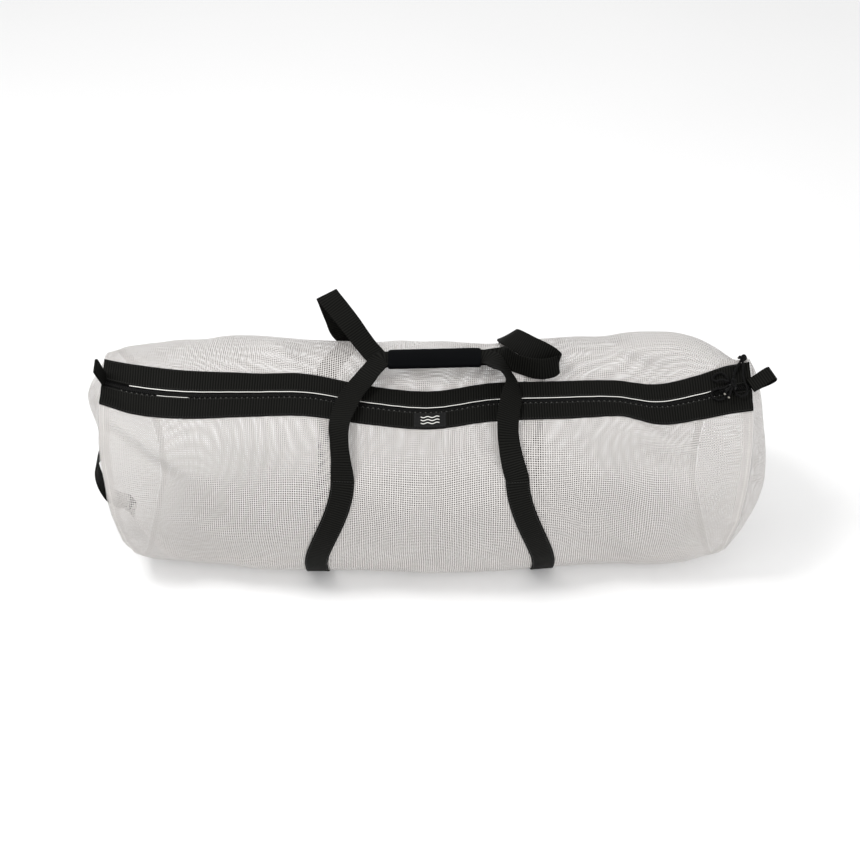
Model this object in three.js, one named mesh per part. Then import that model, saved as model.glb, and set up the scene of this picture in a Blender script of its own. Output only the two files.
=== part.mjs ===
import * as THREE from 'three';

// A long duffel bag of white see-through mesh, lying on its side, with black webbing straps.
// Millimetres. X runs along the bag, -Y faces the viewer, +Z is up and the floor is z = 0.

// Cloth and webbing
const MESH_WALL = 1.2;
const WEBBING_WALL = 2.0;
const WEBBING_WIDTH = 38;
const FIT_GAP = 0.3;

// Zip, measured across it from its middle line
const ZIP_SLOT = 12;
const ZIP_HALF = ZIP_SLOT / 2 + WEBBING_WIDTH;
const MESH_EDGE_FRONT = 6.3;
const MESH_EDGE_BACK = 4.2;
const CHAIN_WIDTH = 7;
const CHAIN_RISE = 1.0;
const TAPE_WALL = 0.9;
const STRIP_MIDDLE = ZIP_SLOT / 2 + WEBBING_WIDTH / 2;

// Sections across the bag, a row for each place along it:
// the zip's middle and its slope in degrees, how far the front and the back bulge,
// the height of the crown behind the zip and its slope, and how far the underside is lifted.
const SECTIONS = [
  { x: -535, zipY: 2, zipZ: 320, slope: 20, frontY: -154, backY: 172, crownZ: 333, rise: 18, lift: 22 },
  { x: -480, zipY: -18, zipZ: 320, slope: 28, frontY: -157, backY: 192, crownZ: 336, rise: 10, lift: 12 },
  { x: -400, zipY: -26, zipZ: 316, slope: 24, frontY: -156, backY: 204, crownZ: 334, rise: 4, lift: 4 },
  { x: -300, zipY: -22, zipZ: 312, slope: 16, frontY: -168, backY: 208, crownZ: 337, rise: 0, lift: 0 },
  { x: -200, zipY: -18, zipZ: 308, slope: 12, frontY: -176, backY: 208, crownZ: 328, rise: 0, lift: 0 },
  { x: -100, zipY: -34, zipZ: 300, slope: 6, frontY: -176, backY: 206, crownZ: 325, rise: 0, lift: 0 },
  { x: 0, zipY: -40, zipZ: 294, slope: 5, frontY: -181, backY: 205, crownZ: 328, rise: 0, lift: 0 },
  { x: 100, zipY: -24, zipZ: 298, slope: 6, frontY: -180, backY: 206, crownZ: 321, rise: 0, lift: 0 },
  { x: 200, zipY: -26, zipZ: 304, slope: 5, frontY: -167, backY: 208, crownZ: 332, rise: 0, lift: 0 },
  { x: 300, zipY: -27, zipZ: 307, slope: 5, frontY: -157, backY: 206, crownZ: 338, rise: 0, lift: 0 },
  { x: 370, zipY: -37, zipZ: 304, slope: 10, frontY: -159, backY: 204, crownZ: 353, rise: 0, lift: 2 },
  { x: 440, zipY: -27, zipZ: 312, slope: 16, frontY: -160, backY: 196, crownZ: 347, rise: 4, lift: 8 },
  { x: 485, zipY: -16, zipZ: 318, slope: 24, frontY: -152, backY: 184, crownZ: 331, rise: 16, lift: 14 },
  { x: 522, zipY: -12, zipZ: 322, slope: 26, frontY: -152, backY: 165, crownZ: 310, rise: 28, lift: 22 },
];
const LEFT_END = SECTIONS[0].x;
const RIGHT_END = SECTIONS[SECTIONS.length - 1].x;

// Shares of the section's own sizes
const FRONT_HEIGHT = 0.46;
const BACK_HEIGHT = 0.48;
const FOOT_FRONT = 0.46;
const FOOT_BACK = 0.5;
const CROWN_BACK = 0.34;
const ROUND = 0.5523;
const CROWN_EASE = 0.4;
const LIFT_HEIGHT = 150;
const GROOVE_HEIGHT = 40;
const FOLD_FLOOR = 40;
const NORMAL_STEP = 2;

// The underside of both ends is pulled in
const END_INSET = 55;
const END_INSET_HEIGHT = 320;
const END_INSET_POWER = 1.3;
const END_INSET_REACH = 6;

// Folds in the cloth: middle (along the bag, and round it from the zip), turn in degrees from X,
// half length, half width and height, which is negative for a dent.
const FOLDS = [
  { x: -455, girth: 86, turn: 28, length: 85, width: 20, height: 9 },
  { x: -430, girth: 150, turn: 35, length: 70, width: 26, height: -9 },
  { x: -462, girth: 268, turn: 60, length: 48, width: 16, height: 8 },
  { x: -330, girth: 330, turn: 4, length: 110, width: 16, height: 5 },
  { x: 365, girth: 70, turn: 18, length: 75, width: 17, height: 10 },
  { x: 350, girth: 112, turn: 14, length: 85, width: 24, height: -9 },
  { x: -240, girth: -84, turn: 48, length: 48, width: 17, height: 8 },
  { x: -300, girth: -78, turn: 40, length: 40, width: 20, height: -6 },
  { x: 340, girth: -76, turn: 14, length: 80, width: 18, height: -8 },
  { x: 250, girth: 210, turn: 80, length: 80, width: 30, height: -6 },
  { x: -20, girth: 200, turn: 5, length: 120, width: 45, height: 5 },
  { x: 440, girth: 240, turn: 55, length: 70, width: 26, height: -9 },
  { x: -60, girth: -260, turn: 8, length: 170, width: 40, height: -8 },
  { x: 300, girth: -330, turn: 30, length: 110, width: 34, height: 8 },
  { x: -360, girth: -300, turn: -25, length: 100, width: 34, height: -9 },
];

// Carry straps: sewn to the sides, meeting under the bag
const LEG_TOP_X = 139;
const LEG_FOOT_X = 188;
const LEG_TOP_GIRTH = 142;
const LEG_FOOT_GIRTH = 330;
const BACK_LEG_TOP_GIRTH = 205;
const STRAP_MEETING_Y = 8;
const STRAP_HOLD = 60;
const SEWN_GAP = 0.8;
const GROOVE = WEBBING_WALL + SEWN_GAP + FIT_GAP;
const GROOVE_FLAT = 21;
const GROOVE_SIDE = 40;

// The mesh tube is in three lengths, which meet beside the straps
const MESH_MEETING = LEG_FOOT_X - GROOVE_FLAT;

// Stations along the bag, with both sides of the strap grooves among them
const END_SPANS = 11;
const MIDDLE_SPANS = 9;
const GIRTH_SPANS = 32;

// Grip that holds the two straps together
const GRIP_WIDTH = 45;
const GRIP_HEIGHT = 15;
const GRIP_SLOT_WIDTH = 40.5;
const GRIP_SLOT_HEIGHT = 7.6;
const GRIP_SQUARENESS = 3;
const GRIP_SIDES = 16;
const GRIP_LINE = [
  { x: -69, y: 45, z: 333.5 },
  { x: -31, y: 46, z: 334 },
  { x: 7, y: 47, z: 334 },
  { x: 46, y: 49, z: 334 },
  { x: 84, y: 50, z: 334 },
];
const STRAP_STACK = 1.8;

// Free stretches of the straps: middle of the strap and the way its width points
const FRONT_RISE = [
  { x: -141, y: -138, z: 268, wx: 0.88, wy: -0.38, wz: 0.28 },
  { x: -144, y: -118, z: 293, wx: 0.8, wy: -0.48, wz: 0.36 },
  { x: -144, y: -90, z: 309, wx: 0.86, wy: -0.44, wz: 0.24 },
  { x: -136, y: -55, z: 315, wx: 0.92, wy: -0.4, wz: 0.02 },
  { x: -125, y: -21, z: 317, wx: 0.85, wy: -0.53, wz: 0 },
  { x: -107, y: 9, z: 322, wx: 0.74, wy: -0.67, wz: -0.06 },
  { x: -92, y: 25, z: 333, wx: 0.5, wy: -0.84, wz: -0.06 },
  { x: -79, y: 43, z: 335.5, wx: 0.05, wy: -1, wz: 0 },
];
const FRONT_FALL = [
  { x: 98, y: 44, z: 337, wx: 0, wy: -1, wz: 0.05 },
  { x: 110, y: 23.5, z: 339.5, wx: -0.6, wy: -0.75, wz: 0.25 },
  { x: 124, y: 8.5, z: 336.5, wx: -0.5, wy: -0.65, wz: 0.57 },
  { x: 133.5, y: -8, z: 329.5, wx: -0.45, wy: -0.72, wz: 0.52 },
  { x: 133, y: -31, z: 322, wx: -0.78, wy: -0.48, wz: 0.4 },
  { x: 127, y: -61, z: 316, wx: -0.86, wy: -0.42, wz: 0.3 },
  { x: 124, y: -88, z: 310, wx: -0.88, wy: -0.38, wz: 0.28 },
  { x: 125, y: -116, z: 294, wx: -0.92, wy: -0.3, wz: 0.25 },
  { x: 131, y: -137, z: 268, wx: -0.97, wy: -0.16, wz: 0.16 },
];
const BACK_RISE = [
  { x: -153, y: 158, z: 310, wx: -0.99, wy: -0.1, wz: -0.05 },
  { x: -159, y: 153, z: 338, wx: -0.96, wy: -0.25, wz: -0.1 },
  { x: -166, y: 149, z: 366, wx: -0.92, wy: -0.34, wz: -0.15 },
  { x: -171, y: 145, z: 388, wx: -0.88, wy: -0.42, wz: -0.2 },
  { x: -172, y: 138, z: 399, wx: -0.86, wy: -0.45, wz: -0.22 },
  { x: -164, y: 128, z: 394, wx: -0.84, wy: -0.5, wz: -0.2 },
  { x: -150, y: 116, z: 382, wx: -0.8, wy: -0.56, wz: -0.18 },
  { x: -132, y: 98, z: 367, wx: -0.74, wy: -0.64, wz: -0.17 },
  { x: -113, y: 82, z: 346, wx: -0.6, wy: -0.76, wz: -0.2 },
  { x: -98, y: 69, z: 333, wx: -0.4, wy: -0.88, wz: -0.2 },
  { x: -85, y: 54, z: 329, wx: -0.1, wy: -0.99, wz: -0.04 },
  { x: -77, y: 48, z: 331, wx: -0.02, wy: -1, wz: 0 },
];
const BACK_FALL = [
  { x: 97, y: 55, z: 330, wx: 0, wy: -0.99, wz: -0.12 },
  { x: 112, y: 57, z: 330, wx: 0, wy: -0.95, wz: -0.3 },
  { x: 127, y: 47, z: 334, wx: 0, wy: -0.35, wz: -0.94 },
  { x: 142, y: 35, z: 333, wx: 0, wy: -0.05, wz: -1 },
  { x: 178, y: 21, z: 332, wx: 0, wy: -0.15, wz: -0.98 },
  { x: 203, y: 23, z: 335, wx: 0, wy: -0.15, wz: -0.99 },
  { x: 211, y: 30.5, z: 337, wx: -0.03, wy: -0.15, wz: -0.98 },
  { x: 204, y: 38.5, z: 339, wx: -0.1, wy: -0.2, wz: -0.97 },
  { x: 189, y: 48, z: 342, wx: -0.3, wy: -0.33, wz: -0.88 },
  { x: 165, y: 67, z: 342, wx: -0.5, wy: -0.48, wz: -0.72 },
  { x: 143, y: 91, z: 340, wx: -0.68, wy: -0.5, wz: -0.53 },
  { x: 133, y: 106, z: 335.5, wx: -0.78, wy: -0.42, wz: -0.45 },
  { x: 130, y: 122, z: 326, wx: -0.86, wy: -0.28, wz: -0.4 },
  { x: 134, y: 142, z: 309, wx: -0.94, wy: -0.05, wz: -0.3 },
];
const FREE_STEPS = 2;

// Sewn end panels: where the middle bulges to, and a lump at the top of the left one
const PANEL_RINGS = [1, 0.8, 0.6, 0.4, 0.2];
const PANEL_LEFT = { x: -540, y: 12, z: 165, lumpY: 22, lumpZ: 286, lumpOut: 36, lumpReach: 55 };
const PANEL_RIGHT = { x: 562, y: 8, z: 172, lumpY: -70, lumpZ: 110, lumpOut: 6, lumpReach: 60 };

// Grab handle on the left end panel: both ends are sewn on, with a free bow between them
const GRAB_LINE = [
  { x: -510.5, y: -20, z: 55, lean: 0 },
  { x: -521.2, y: -20, z: 75, lean: 0 },
  { x: -537, y: -20, z: 80.5, lean: 0 },
  { x: -549, y: -20, z: 91, lean: 0 },
  { x: -557, y: -20, z: 108, lean: 0 },
  { x: -562, y: -20, z: 128, lean: 0 },
  { x: -563.5, y: -20, z: 148, lean: 0.02 },
  { x: -561, y: -20, z: 166, lean: 0.05 },
  { x: -555, y: -20, z: 180, lean: 0.08 },
  { x: -548, y: -20, z: 190.5, lean: 0.1 },
  { x: -543.9, y: -20, z: 200, lean: 0.11 },
  { x: -545.3, y: -20, z: 211, lean: 0.13 },
];

// Folded webbing loops at both ends of the zip
const TAB_WIDTH = 25;
const TAB_WALL = 1.6;
const TAB_LENGTH = 42;
const TAB_NECK = 1.3;
const TAB_LEFT = {
  x: -531, girth: -4, off: 3.3, loop: 1.9, tx: -0.16, ty: -0.32, tz: 0.92, wx: 0, wy: 0.94, wz: 0.34,
};
const TAB_RIGHT = {
  x: 519, girth: 2, off: 5.4, loop: 6.2, tx: 0.88, ty: 0.31, tz: 0.37, wx: 0.38, wy: -0.87, wz: -0.31,
};

// One side of a loop: shares of its straight run and of its round end, and its distance from the loop's
// middle as a share of the round end
const TAB_SIDE = [
  { run: 0, end: 0, off: 0 },
  { run: 0.4, end: 0, off: 0.12 },
  { run: 0.7, end: 0, off: 0.75 },
  { run: 1, end: 0, off: 1 },
  { run: 1, end: 0.7, off: 0.7 },
];

// Plain patch on the front zip strip
const PATCH_HALF_LENGTH = 26;
const PATCH_EDGES = [9, 25, 41];
const PATCH_WALL = 0.6;

// Zip slider with a bridge that the pull cords pass through
const SLIDER_X = 488;
const SLIDER_LENGTH = 18;
const SLIDER_WIDTH = 8;
const SLIDER_BASE = 3;
const BRIDGE_HALF = 6.6;
const BRIDGE_EYE_HALF = 4.8;
const BRIDGE_EYE_HEIGHT = 5.2;
const BRIDGE_WALL = 1.7;

// Pull cords: loops through the bridge, each closed by a knot
const CORD_DIAMETER = 4;
const CORD_SIDES = 6;
const CORD_STEPS = 10;
const EYE_SIDE = 2.4;
const KNOT_RADIUS = 7;
const KNOT_SIDES = 8;
const KNOT_BANDS = 5;
const PULLS = [
  {
    name: 'upper',
    side: EYE_SIDE,
    knot: [510.5, 28.5, 349],
    back: [[492, -4, 331.5], [495.5, 6, 336.5], [501, 16, 342.5]],
    front: [
      [495, -31, 320.5], [503, -34.5, 319.5], [511, -30.5, 322.5], [512.5, -22, 327], [509.5, -12, 331.5],
      [508, -2, 336], [509, 10, 341],
    ],
  },
  {
    name: 'lower',
    side: -EYE_SIDE,
    knot: [489.6, -21.6, 336.5],
    back: [
      [484.5, -4, 329.5], [477, 7.5, 333.5], [467, 8, 332.5], [459, 0, 329], [463, -8.5, 329.5],
      [473, -9, 333],
    ],
    front: [
      [478, -33, 318.5], [468, -38.5, 315.5], [458, -35, 316], [455, -25.5, 319], [462, -20.5, 322.5],
      [474, -24, 328],
    ],
  },
];
const EYE_LEAD = 7;

const WHITE_MESH = { color: 0xdcdad6, roughness: 0.55, metalness: 0 };
const BLACK_WEBBING = { color: 0x1d1d1c, roughness: 0.85, metalness: 0 };
const BLACK_TAPE = { color: 0x161616, roughness: 0.9, metalness: 0 };
const BLACK_COIL = { color: 0x202020, roughness: 0.45, metalness: 0 };
const DARK_GRIP = { color: 0x14161b, roughness: 0.7, metalness: 0 };
const BLACK_METAL = { color: 0x2a2a2b, roughness: 0.4, metalness: 0.6 };
const BLACK_CORD = { color: 0x1a1a1a, roughness: 0.8, metalness: 0 };

const vec = (row) => new THREE.Vector3(row.x, row.y, row.z);
const widthOf = (row) => new THREE.Vector3(row.wx, row.wy, row.wz);
const towards = (from, direction, distance) => from.clone().addScaledVector(direction, distance);
const ease = (t) => THREE.MathUtils.smoothstep(t, 0, 1);

// Smooth curve through the rows of the section table, column by column
function sectionAt(x) {
  const last = SECTIONS.length - 1;
  const place = THREE.MathUtils.clamp(x, LEFT_END, RIGHT_END);
  const i = Math.min(SECTIONS.findLastIndex((row) => row.x <= place), last - 1);
  const [a, b] = [SECTIONS[i], SECTIONS[i + 1]];
  const [before, after] = [SECTIONS[Math.max(i - 1, 0)], SECTIONS[Math.min(i + 2, last)]];
  const span = b.x - a.x;
  const t = (place - a.x) / span;
  const section = {};
  for (const column of Object.keys(a)) {
    const startSlope = (b[column] - before[column]) / (b.x - before.x);
    const endSlope = (after[column] - a[column]) / (after.x - a.x);
    section[column] =
      (2 * t ** 3 - 3 * t ** 2 + 1) * a[column] +
      (t ** 3 - 2 * t ** 2 + t) * span * startSlope +
      (3 * t ** 2 - 2 * t ** 3) * b[column] +
      (t ** 3 - t ** 2) * span * endSlope;
  }
  return section;
}

// Closed outline of one section, from the zip's middle down the front, under the foot, up the back
// and over the crown to the zip again. Each stretch is a round quarter between two tangents.
const outlines = new Map();
function outlineAt(x) {
  const key = x.toFixed(3);
  if (outlines.has(key)) {
    return outlines.get(key);
  }
  const s = sectionAt(x);
  const point = (y, z) => new THREE.Vector2(y, z);
  const step = (from, direction, length) => from.clone().addScaledVector(direction, length);
  const slope = THREE.MathUtils.degToRad(s.slope);
  const rise = THREE.MathUtils.degToRad(s.rise);
  const down = point(-Math.cos(slope), -Math.sin(slope));
  const over = point(-Math.cos(rise), Math.sin(rise));
  const zip = point(s.zipY, s.zipZ);
  const zipFront = step(zip, down, ZIP_HALF);
  const zipBack = step(zip, down, -ZIP_HALF);
  const front = point(s.frontY, FRONT_HEIGHT * s.zipZ);
  const footFront = point(FOOT_FRONT * s.frontY, 0);
  const footBack = point(FOOT_BACK * s.backY, 0);
  const back = point(s.backY, BACK_HEIGHT * s.zipZ);
  const crown = point(CROWN_BACK * s.backY, s.crownZ);
  const shoulder = (zipFront.x - front.x) / Math.cos(slope);
  const shoulderDrop = zipFront.y - shoulder * Math.sin(slope) - front.y;
  const backReach = (back.x - crown.x) / Math.cos(rise);
  const backRise = crown.y - backReach * Math.sin(rise) - back.y;
  const crownReach = CROWN_EASE * crown.distanceTo(zipBack);
  const round = (from, fromSide, toSide, to) => new THREE.CubicBezierCurve(from, fromSide, toSide, to);
  const path = new THREE.CurvePath();
  path.add(new THREE.LineCurve(zip, zipFront));
  path.add(round(
    zipFront, step(zipFront, down, ROUND * shoulder), point(front.x, front.y + ROUND * shoulderDrop), front,
  ));
  path.add(round(
    front, point(front.x, (1 - ROUND) * front.y), point(footFront.x - ROUND * (footFront.x - front.x), 0),
    footFront,
  ));
  path.add(new THREE.LineCurve(footFront, footBack));
  path.add(round(
    footBack, point(footBack.x + ROUND * (back.x - footBack.x), 0), point(back.x, (1 - ROUND) * back.y), back,
  ));
  path.add(round(
    back, point(back.x, back.y + ROUND * backRise), step(crown, over, -ROUND * backReach), crown,
  ));
  path.add(round(crown, step(crown, over, crownReach), step(zipBack, down, -crownReach), zipBack));
  path.add(new THREE.LineCurve(zipBack, zip));
  const outline = { path, length: path.getLength(), lift: Math.max(0, s.lift) };
  outlines.set(key, outline);
  return outline;
}

// Height of the groove that each strap presses into the underside
function grooveAt(x) {
  const off = Math.abs(Math.abs(x) - LEG_FOOT_X);
  return GROOVE * (1 - ease((off - GROOVE_FLAT) / (GROOVE_SIDE - GROOVE_FLAT)));
}

// Height of all folds at a place on the cloth, which the sewn straps hold flat
function foldAt(x, girth) {
  let height = 0;
  for (const fold of FOLDS) {
    const turn = THREE.MathUtils.degToRad(fold.turn);
    const dx = x - fold.x;
    const dg = girth - fold.girth;
    const along = (dx * Math.cos(turn) + dg * Math.sin(turn)) / fold.length;
    const across = (dg * Math.cos(turn) - dx * Math.sin(turn)) / fold.width;
    height += fold.height * Math.exp(-(along ** 2) - across ** 2);
  }
  const fromStrap = (Math.abs(x) - (LEG_TOP_X + LEG_FOOT_X) / 2) / STRAP_HOLD;
  return height * (1 - Math.exp(-(fromStrap ** 4)));
}

// A point on the outside of the cloth, x along the bag and girth round it from the zip's middle line,
// positive down the front and negative over the back
function clothAt(x, girth) {
  const { path, length, lift } = outlineAt(x);
  const share = THREE.MathUtils.euclideanModulo(girth, length) / length;
  const flat = path.getPoint(share);
  const along = path.getTangent(share);
  const signed = girth > length / 2 ? girth - length : girth;
  const fold = foldAt(x, signed) * Math.min(1, flat.y / FOLD_FLOOR);
  const y = flat.x + fold * along.y;
  let z = flat.y - fold * along.x;
  z += lift * Math.max(0, 1 - flat.y / LIFT_HEIGHT);
  z += grooveAt(x) * Math.max(0, 1 - flat.y / GROOVE_HEIGHT);
  const reach = Math.sign(x) * Math.min(1, Math.abs(x / LEFT_END)) ** END_INSET_REACH;
  const low = Math.max(0, 1 - z / END_INSET_HEIGHT) ** END_INSET_POWER;
  return new THREE.Vector3(x - reach * END_INSET * low, y, z);
}

// Outward direction of the cloth
function outwardAt(x, girth) {
  const ahead = clothAt(Math.min(x + NORMAL_STEP, RIGHT_END), girth);
  const behind = clothAt(Math.max(x - NORMAL_STEP, LEFT_END), girth);
  const round = clothAt(x, girth + NORMAL_STEP).sub(clothAt(x, girth - NORMAL_STEP));
  return round.cross(ahead.sub(behind)).normalize();
}

// A place off the cloth by a distance, outside if positive
function offCloth(x, girth, distance) {
  return towards(clothAt(x, girth), outwardAt(x, girth), distance);
}

// Closed solid between two grids of points. A loop joins the last column to the first,
// and a tip closes the last row to one point on each side.
function solidBetween(outer, inner, { loop = false, tip = null } = {}) {
  const rows = outer.length;
  const columns = outer[0].length;
  const points = [...outer.flat(), ...inner.flat()];
  const at = (side, row, column) => side * rows * columns + row * columns + (column % columns);
  const triangles = [];
  const quad = (a, b, c, d) => triangles.push([a, b, c], [a, c, d]);
  const spans = loop ? columns : columns - 1;
  for (let c = 0; c < spans; c += 1) {
    for (let r = 0; r < rows - 1; r += 1) {
      quad(at(0, r, c), at(0, r, c + 1), at(0, r + 1, c + 1), at(0, r + 1, c));
      quad(at(1, r, c), at(1, r + 1, c), at(1, r + 1, c + 1), at(1, r, c + 1));
    }
    quad(at(0, 0, c), at(1, 0, c), at(1, 0, c + 1), at(0, 0, c + 1));
    const end = rows - 1;
    if (tip) {
      triangles.push([at(0, end, c), at(0, end, c + 1), points.length]);
      triangles.push([at(1, end, c + 1), at(1, end, c), points.length + 1]);
    } else {
      quad(at(0, end, c), at(0, end, c + 1), at(1, end, c + 1), at(1, end, c));
    }
  }
  if (!loop) {
    const side = columns - 1;
    for (let r = 0; r < rows - 1; r += 1) {
      quad(at(0, r, 0), at(0, r + 1, 0), at(1, r + 1, 0), at(1, r, 0));
      quad(at(0, r, side), at(1, r, side), at(1, r + 1, side), at(0, r + 1, side));
    }
  }
  if (tip) {
    points.push(...tip);
  }
  const volume = triangles.reduce(
    (sum, [a, b, c]) => sum + points[a].dot(points[b].clone().cross(points[c])), 0,
  );
  const faces = volume > 0 ? triangles : triangles.map(([a, b, c]) => [a, c, b]);
  const geometry = new THREE.BufferGeometry().setFromPoints(points);
  geometry.setIndex(faces.flat());
  return geometry;
}

// A strip of cloth that follows the bag between two distances from it
function clothStrip(stations, girths, outside, inside) {
  const grid = (distance) => stations.map((x) => girths(x).map((g) => offCloth(x, g, distance)));
  return solidBetween(grid(outside), grid(inside));
}

// A strap through frames of a middle point and a width direction
function strap(frames, width, wall) {
  const outer = [];
  const inner = [];
  frames.forEach(({ middle, across }, i) => {
    const ahead = frames[Math.min(i + 1, frames.length - 1)].middle;
    const behind = frames[Math.max(i - 1, 0)].middle;
    const along = ahead.clone().sub(behind).normalize();
    const side = across.clone().addScaledVector(along, -across.dot(along)).normalize();
    const face = side.clone().cross(along);
    const edge = (s, f) => towards(towards(middle, side, (s * width) / 2), face, (f * wall) / 2);
    outer.push([edge(1, 1), edge(-1, 1)]);
    inner.push([edge(1, -1), edge(-1, -1)]);
  });
  return solidBetween(outer, inner);
}

// Frames along a smooth line through rows of the strap tables
function freeFrames(rows, steps) {
  const middles = new THREE.CatmullRomCurve3(rows.map((row) => row.middle));
  const sides = new THREE.CatmullRomCurve3(rows.map((row) => row.across), false, 'catmullrom');
  const first = steps;
  const last = steps * (rows.length - 2);
  const frames = [];
  for (let k = first; k <= last; k += 1) {
    const t = k / (steps * (rows.length - 1));
    frames.push({ middle: middles.getPoint(t), across: sides.getPoint(t) });
  }
  return frames;
}

function stationsAlong() {
  const spread = (from, to, spans) =>
    Array.from({ length: spans }, (_, i) => THREE.MathUtils.lerp(from, to, i / spans));
  const outer = LEG_FOOT_X + GROOVE_SIDE;
  const inner = LEG_FOOT_X - GROOVE_SIDE;
  return [
    ...spread(LEFT_END, -outer, END_SPANS),
    -outer, -LEG_FOOT_X - GROOVE_FLAT, -LEG_FOOT_X + GROOVE_FLAT,
    ...spread(-inner, inner, MIDDLE_SPANS),
    inner, LEG_FOOT_X - GROOVE_FLAT, LEG_FOOT_X + GROOVE_FLAT,
    ...spread(outer, RIGHT_END, END_SPANS),
    RIGHT_END,
  ];
}
const STATIONS = stationsAlong();

// Lines round the bag from the front edge of the zip to its back edge
function girthsAt(x) {
  const { length } = outlineAt(x);
  const span = (length - 2 * ZIP_HALF) / GIRTH_SPANS;
  const middle = Array.from({ length: GIRTH_SPANS + 1 }, (_, i) => ZIP_HALF + i * span);
  return [MESH_EDGE_FRONT, STRIP_MIDDLE, ...middle, length - STRIP_MIDDLE, length - MESH_EDGE_BACK];
}

function meshLength(from, to) {
  const stations = [from, ...STATIONS.filter((x) => x > from && x < to), to];
  return clothStrip(stations, girthsAt, 0, -MESH_WALL);
}

function zipStrip(girths) {
  return clothStrip(STATIONS, () => girths, FIT_GAP + WEBBING_WALL, FIT_GAP);
}

function zipTape(girths) {
  const top = -MESH_WALL - FIT_GAP;
  return clothStrip(STATIONS, () => girths, top, top - TAPE_WALL);
}

function zipChain() {
  const girths = () => [-CHAIN_WIDTH / 2, CHAIN_WIDTH / 2];
  return clothStrip(STATIONS, girths, CHAIN_RISE, -MESH_WALL - FIT_GAP - TAPE_WALL);
}

function labelPatch() {
  const inside = STATIONS.filter((x) => Math.abs(x) < PATCH_HALF_LENGTH);
  const stations = [-PATCH_HALF_LENGTH, ...inside, PATCH_HALF_LENGTH];
  const under = 2 * FIT_GAP + WEBBING_WALL;
  return clothStrip(stations, () => PATCH_EDGES, under + PATCH_WALL, under);
}

// End panel: a dome from the seam to its middle, which covers the open end of the mesh tube
function panelPoint(panel, end, rim, share) {
  const middle = vec(panel);
  const flat = middle.clone().lerp(rim, share);
  const lump = ((flat.y - panel.lumpY) ** 2 + (flat.z - panel.lumpZ) ** 2) / panel.lumpReach ** 2;
  const out = THREE.MathUtils.lerp(middle.x, rim.x, share ** 2);
  const bulge = panel.lumpOut * Math.exp(-lump) * (1 - share ** 4);
  return new THREE.Vector3(out + Math.sign(end) * bulge, flat.y, flat.z);
}

function panelRim(end) {
  return girthsAt(end).map((g) => clothAt(end, g));
}

function endPanel(panel, end) {
  const out = Math.sign(end);
  const rim = panelRim(end);
  const face = (distance) => {
    const shift = new THREE.Vector3(out * distance, 0, 0);
    const rings = PANEL_RINGS.map((share) => rim.map((p) => panelPoint(panel, end, p, share).add(shift)));
    return { rings, middle: panelPoint(panel, end, rim[0], 0).add(shift) };
  };
  const outside = face(FIT_GAP + MESH_WALL);
  const inside = face(FIT_GAP);
  return solidBetween(outside.rings, inside.rings, { loop: true, tip: [outside.middle, inside.middle] });
}

// Sewn leg of a carry strap on the cloth's own lines, from its meeting place under the bag to its top
function sewnLeg(sideX, sideY, topGirth, facing) {
  const { length } = outlineAt(sideX * LEG_FOOT_X);
  const lines = girthsAt(sideX * LEG_FOOT_X).map((g) => (sideY < 0 ? g : length - g));
  const order = lines.map((_, k) => (sideY < 0 ? k : lines.length - 1 - k));
  const frames = [];
  for (const line of order.filter((k) => lines[k] > topGirth)) {
    const low = ease((lines[line] - topGirth) / (LEG_FOOT_GIRTH - topGirth));
    const x = sideX * THREE.MathUtils.lerp(LEG_TOP_X, LEG_FOOT_X, low);
    const middle = offCloth(x, girthsAt(x)[line], SEWN_GAP + WEBBING_WALL / 2);
    if (sideY * (middle.y - STRAP_MEETING_Y) < WEBBING_WIDTH / 2) {
      break;
    }
    const edge = (side) => clothAt(x + (side * WEBBING_WIDTH) / 2, girthsAt(x)[line]);
    frames.push({ middle, across: edge(facing).sub(edge(-facing)).normalize() });
  }
  const across = new THREE.Vector3(facing, 0, 0);
  const meetingY = STRAP_MEETING_Y + sideY * FIT_GAP;
  frames.push({ middle: new THREE.Vector3(sideX * LEG_FOOT_X, meetingY, WEBBING_WALL / 2), across });
  return frames.reverse();
}

function rowFrames(rows) {
  return rows.map((row) => ({ middle: vec(row), across: widthOf(row) }));
}

// The stretch of a strap inside the grip, above or below the grip's middle
function gripFrames(level) {
  return GRIP_LINE.map((row) => ({
    middle: vec(row).add(new THREE.Vector3(0, 0, level)),
    across: new THREE.Vector3(0, -1, 0),
  }));
}

function carryStrap(sideY, topGirth, rise, fall, level) {
  const up = sewnLeg(-1, sideY, topGirth, Math.sign(rise[0].wx));
  const down = sewnLeg(1, sideY, topGirth, Math.sign(fall[fall.length - 1].wx)).reverse();
  const loose = [
    ...up.slice(-2), ...rowFrames(rise), ...gripFrames(level), ...rowFrames(fall), ...down.slice(0, 2),
  ];
  const frames = [...up.slice(0, -1), ...freeFrames(loose, FREE_STEPS), ...down.slice(1)];
  return strap(frames, WEBBING_WIDTH, WEBBING_WALL);
}

// Sleeve with a flat slot for the two straps, round at its corners
function handleWrap() {
  const turns = Array.from({ length: GRIP_SIDES }, (_, k) => (2 * Math.PI * k) / GRIP_SIDES);
  const rounded = (value) => Math.sign(value) * Math.abs(value) ** (2 / GRIP_SQUARENESS);
  const squared = (value) => THREE.MathUtils.clamp(Math.SQRT2 * value, -1, 1);
  const sleeve = (width, height, shape) => GRIP_LINE.map((p) => turns.map((a) => new THREE.Vector3(
    p.x, p.y + (width / 2) * shape(Math.cos(a)), p.z + (height / 2) * shape(Math.sin(a)),
  )));
  const outer = sleeve(GRIP_WIDTH, GRIP_HEIGHT, rounded);
  const inner = sleeve(GRIP_SLOT_WIDTH, GRIP_SLOT_HEIGHT, squared);
  return solidBetween(outer, inner, { loop: true });
}

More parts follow.
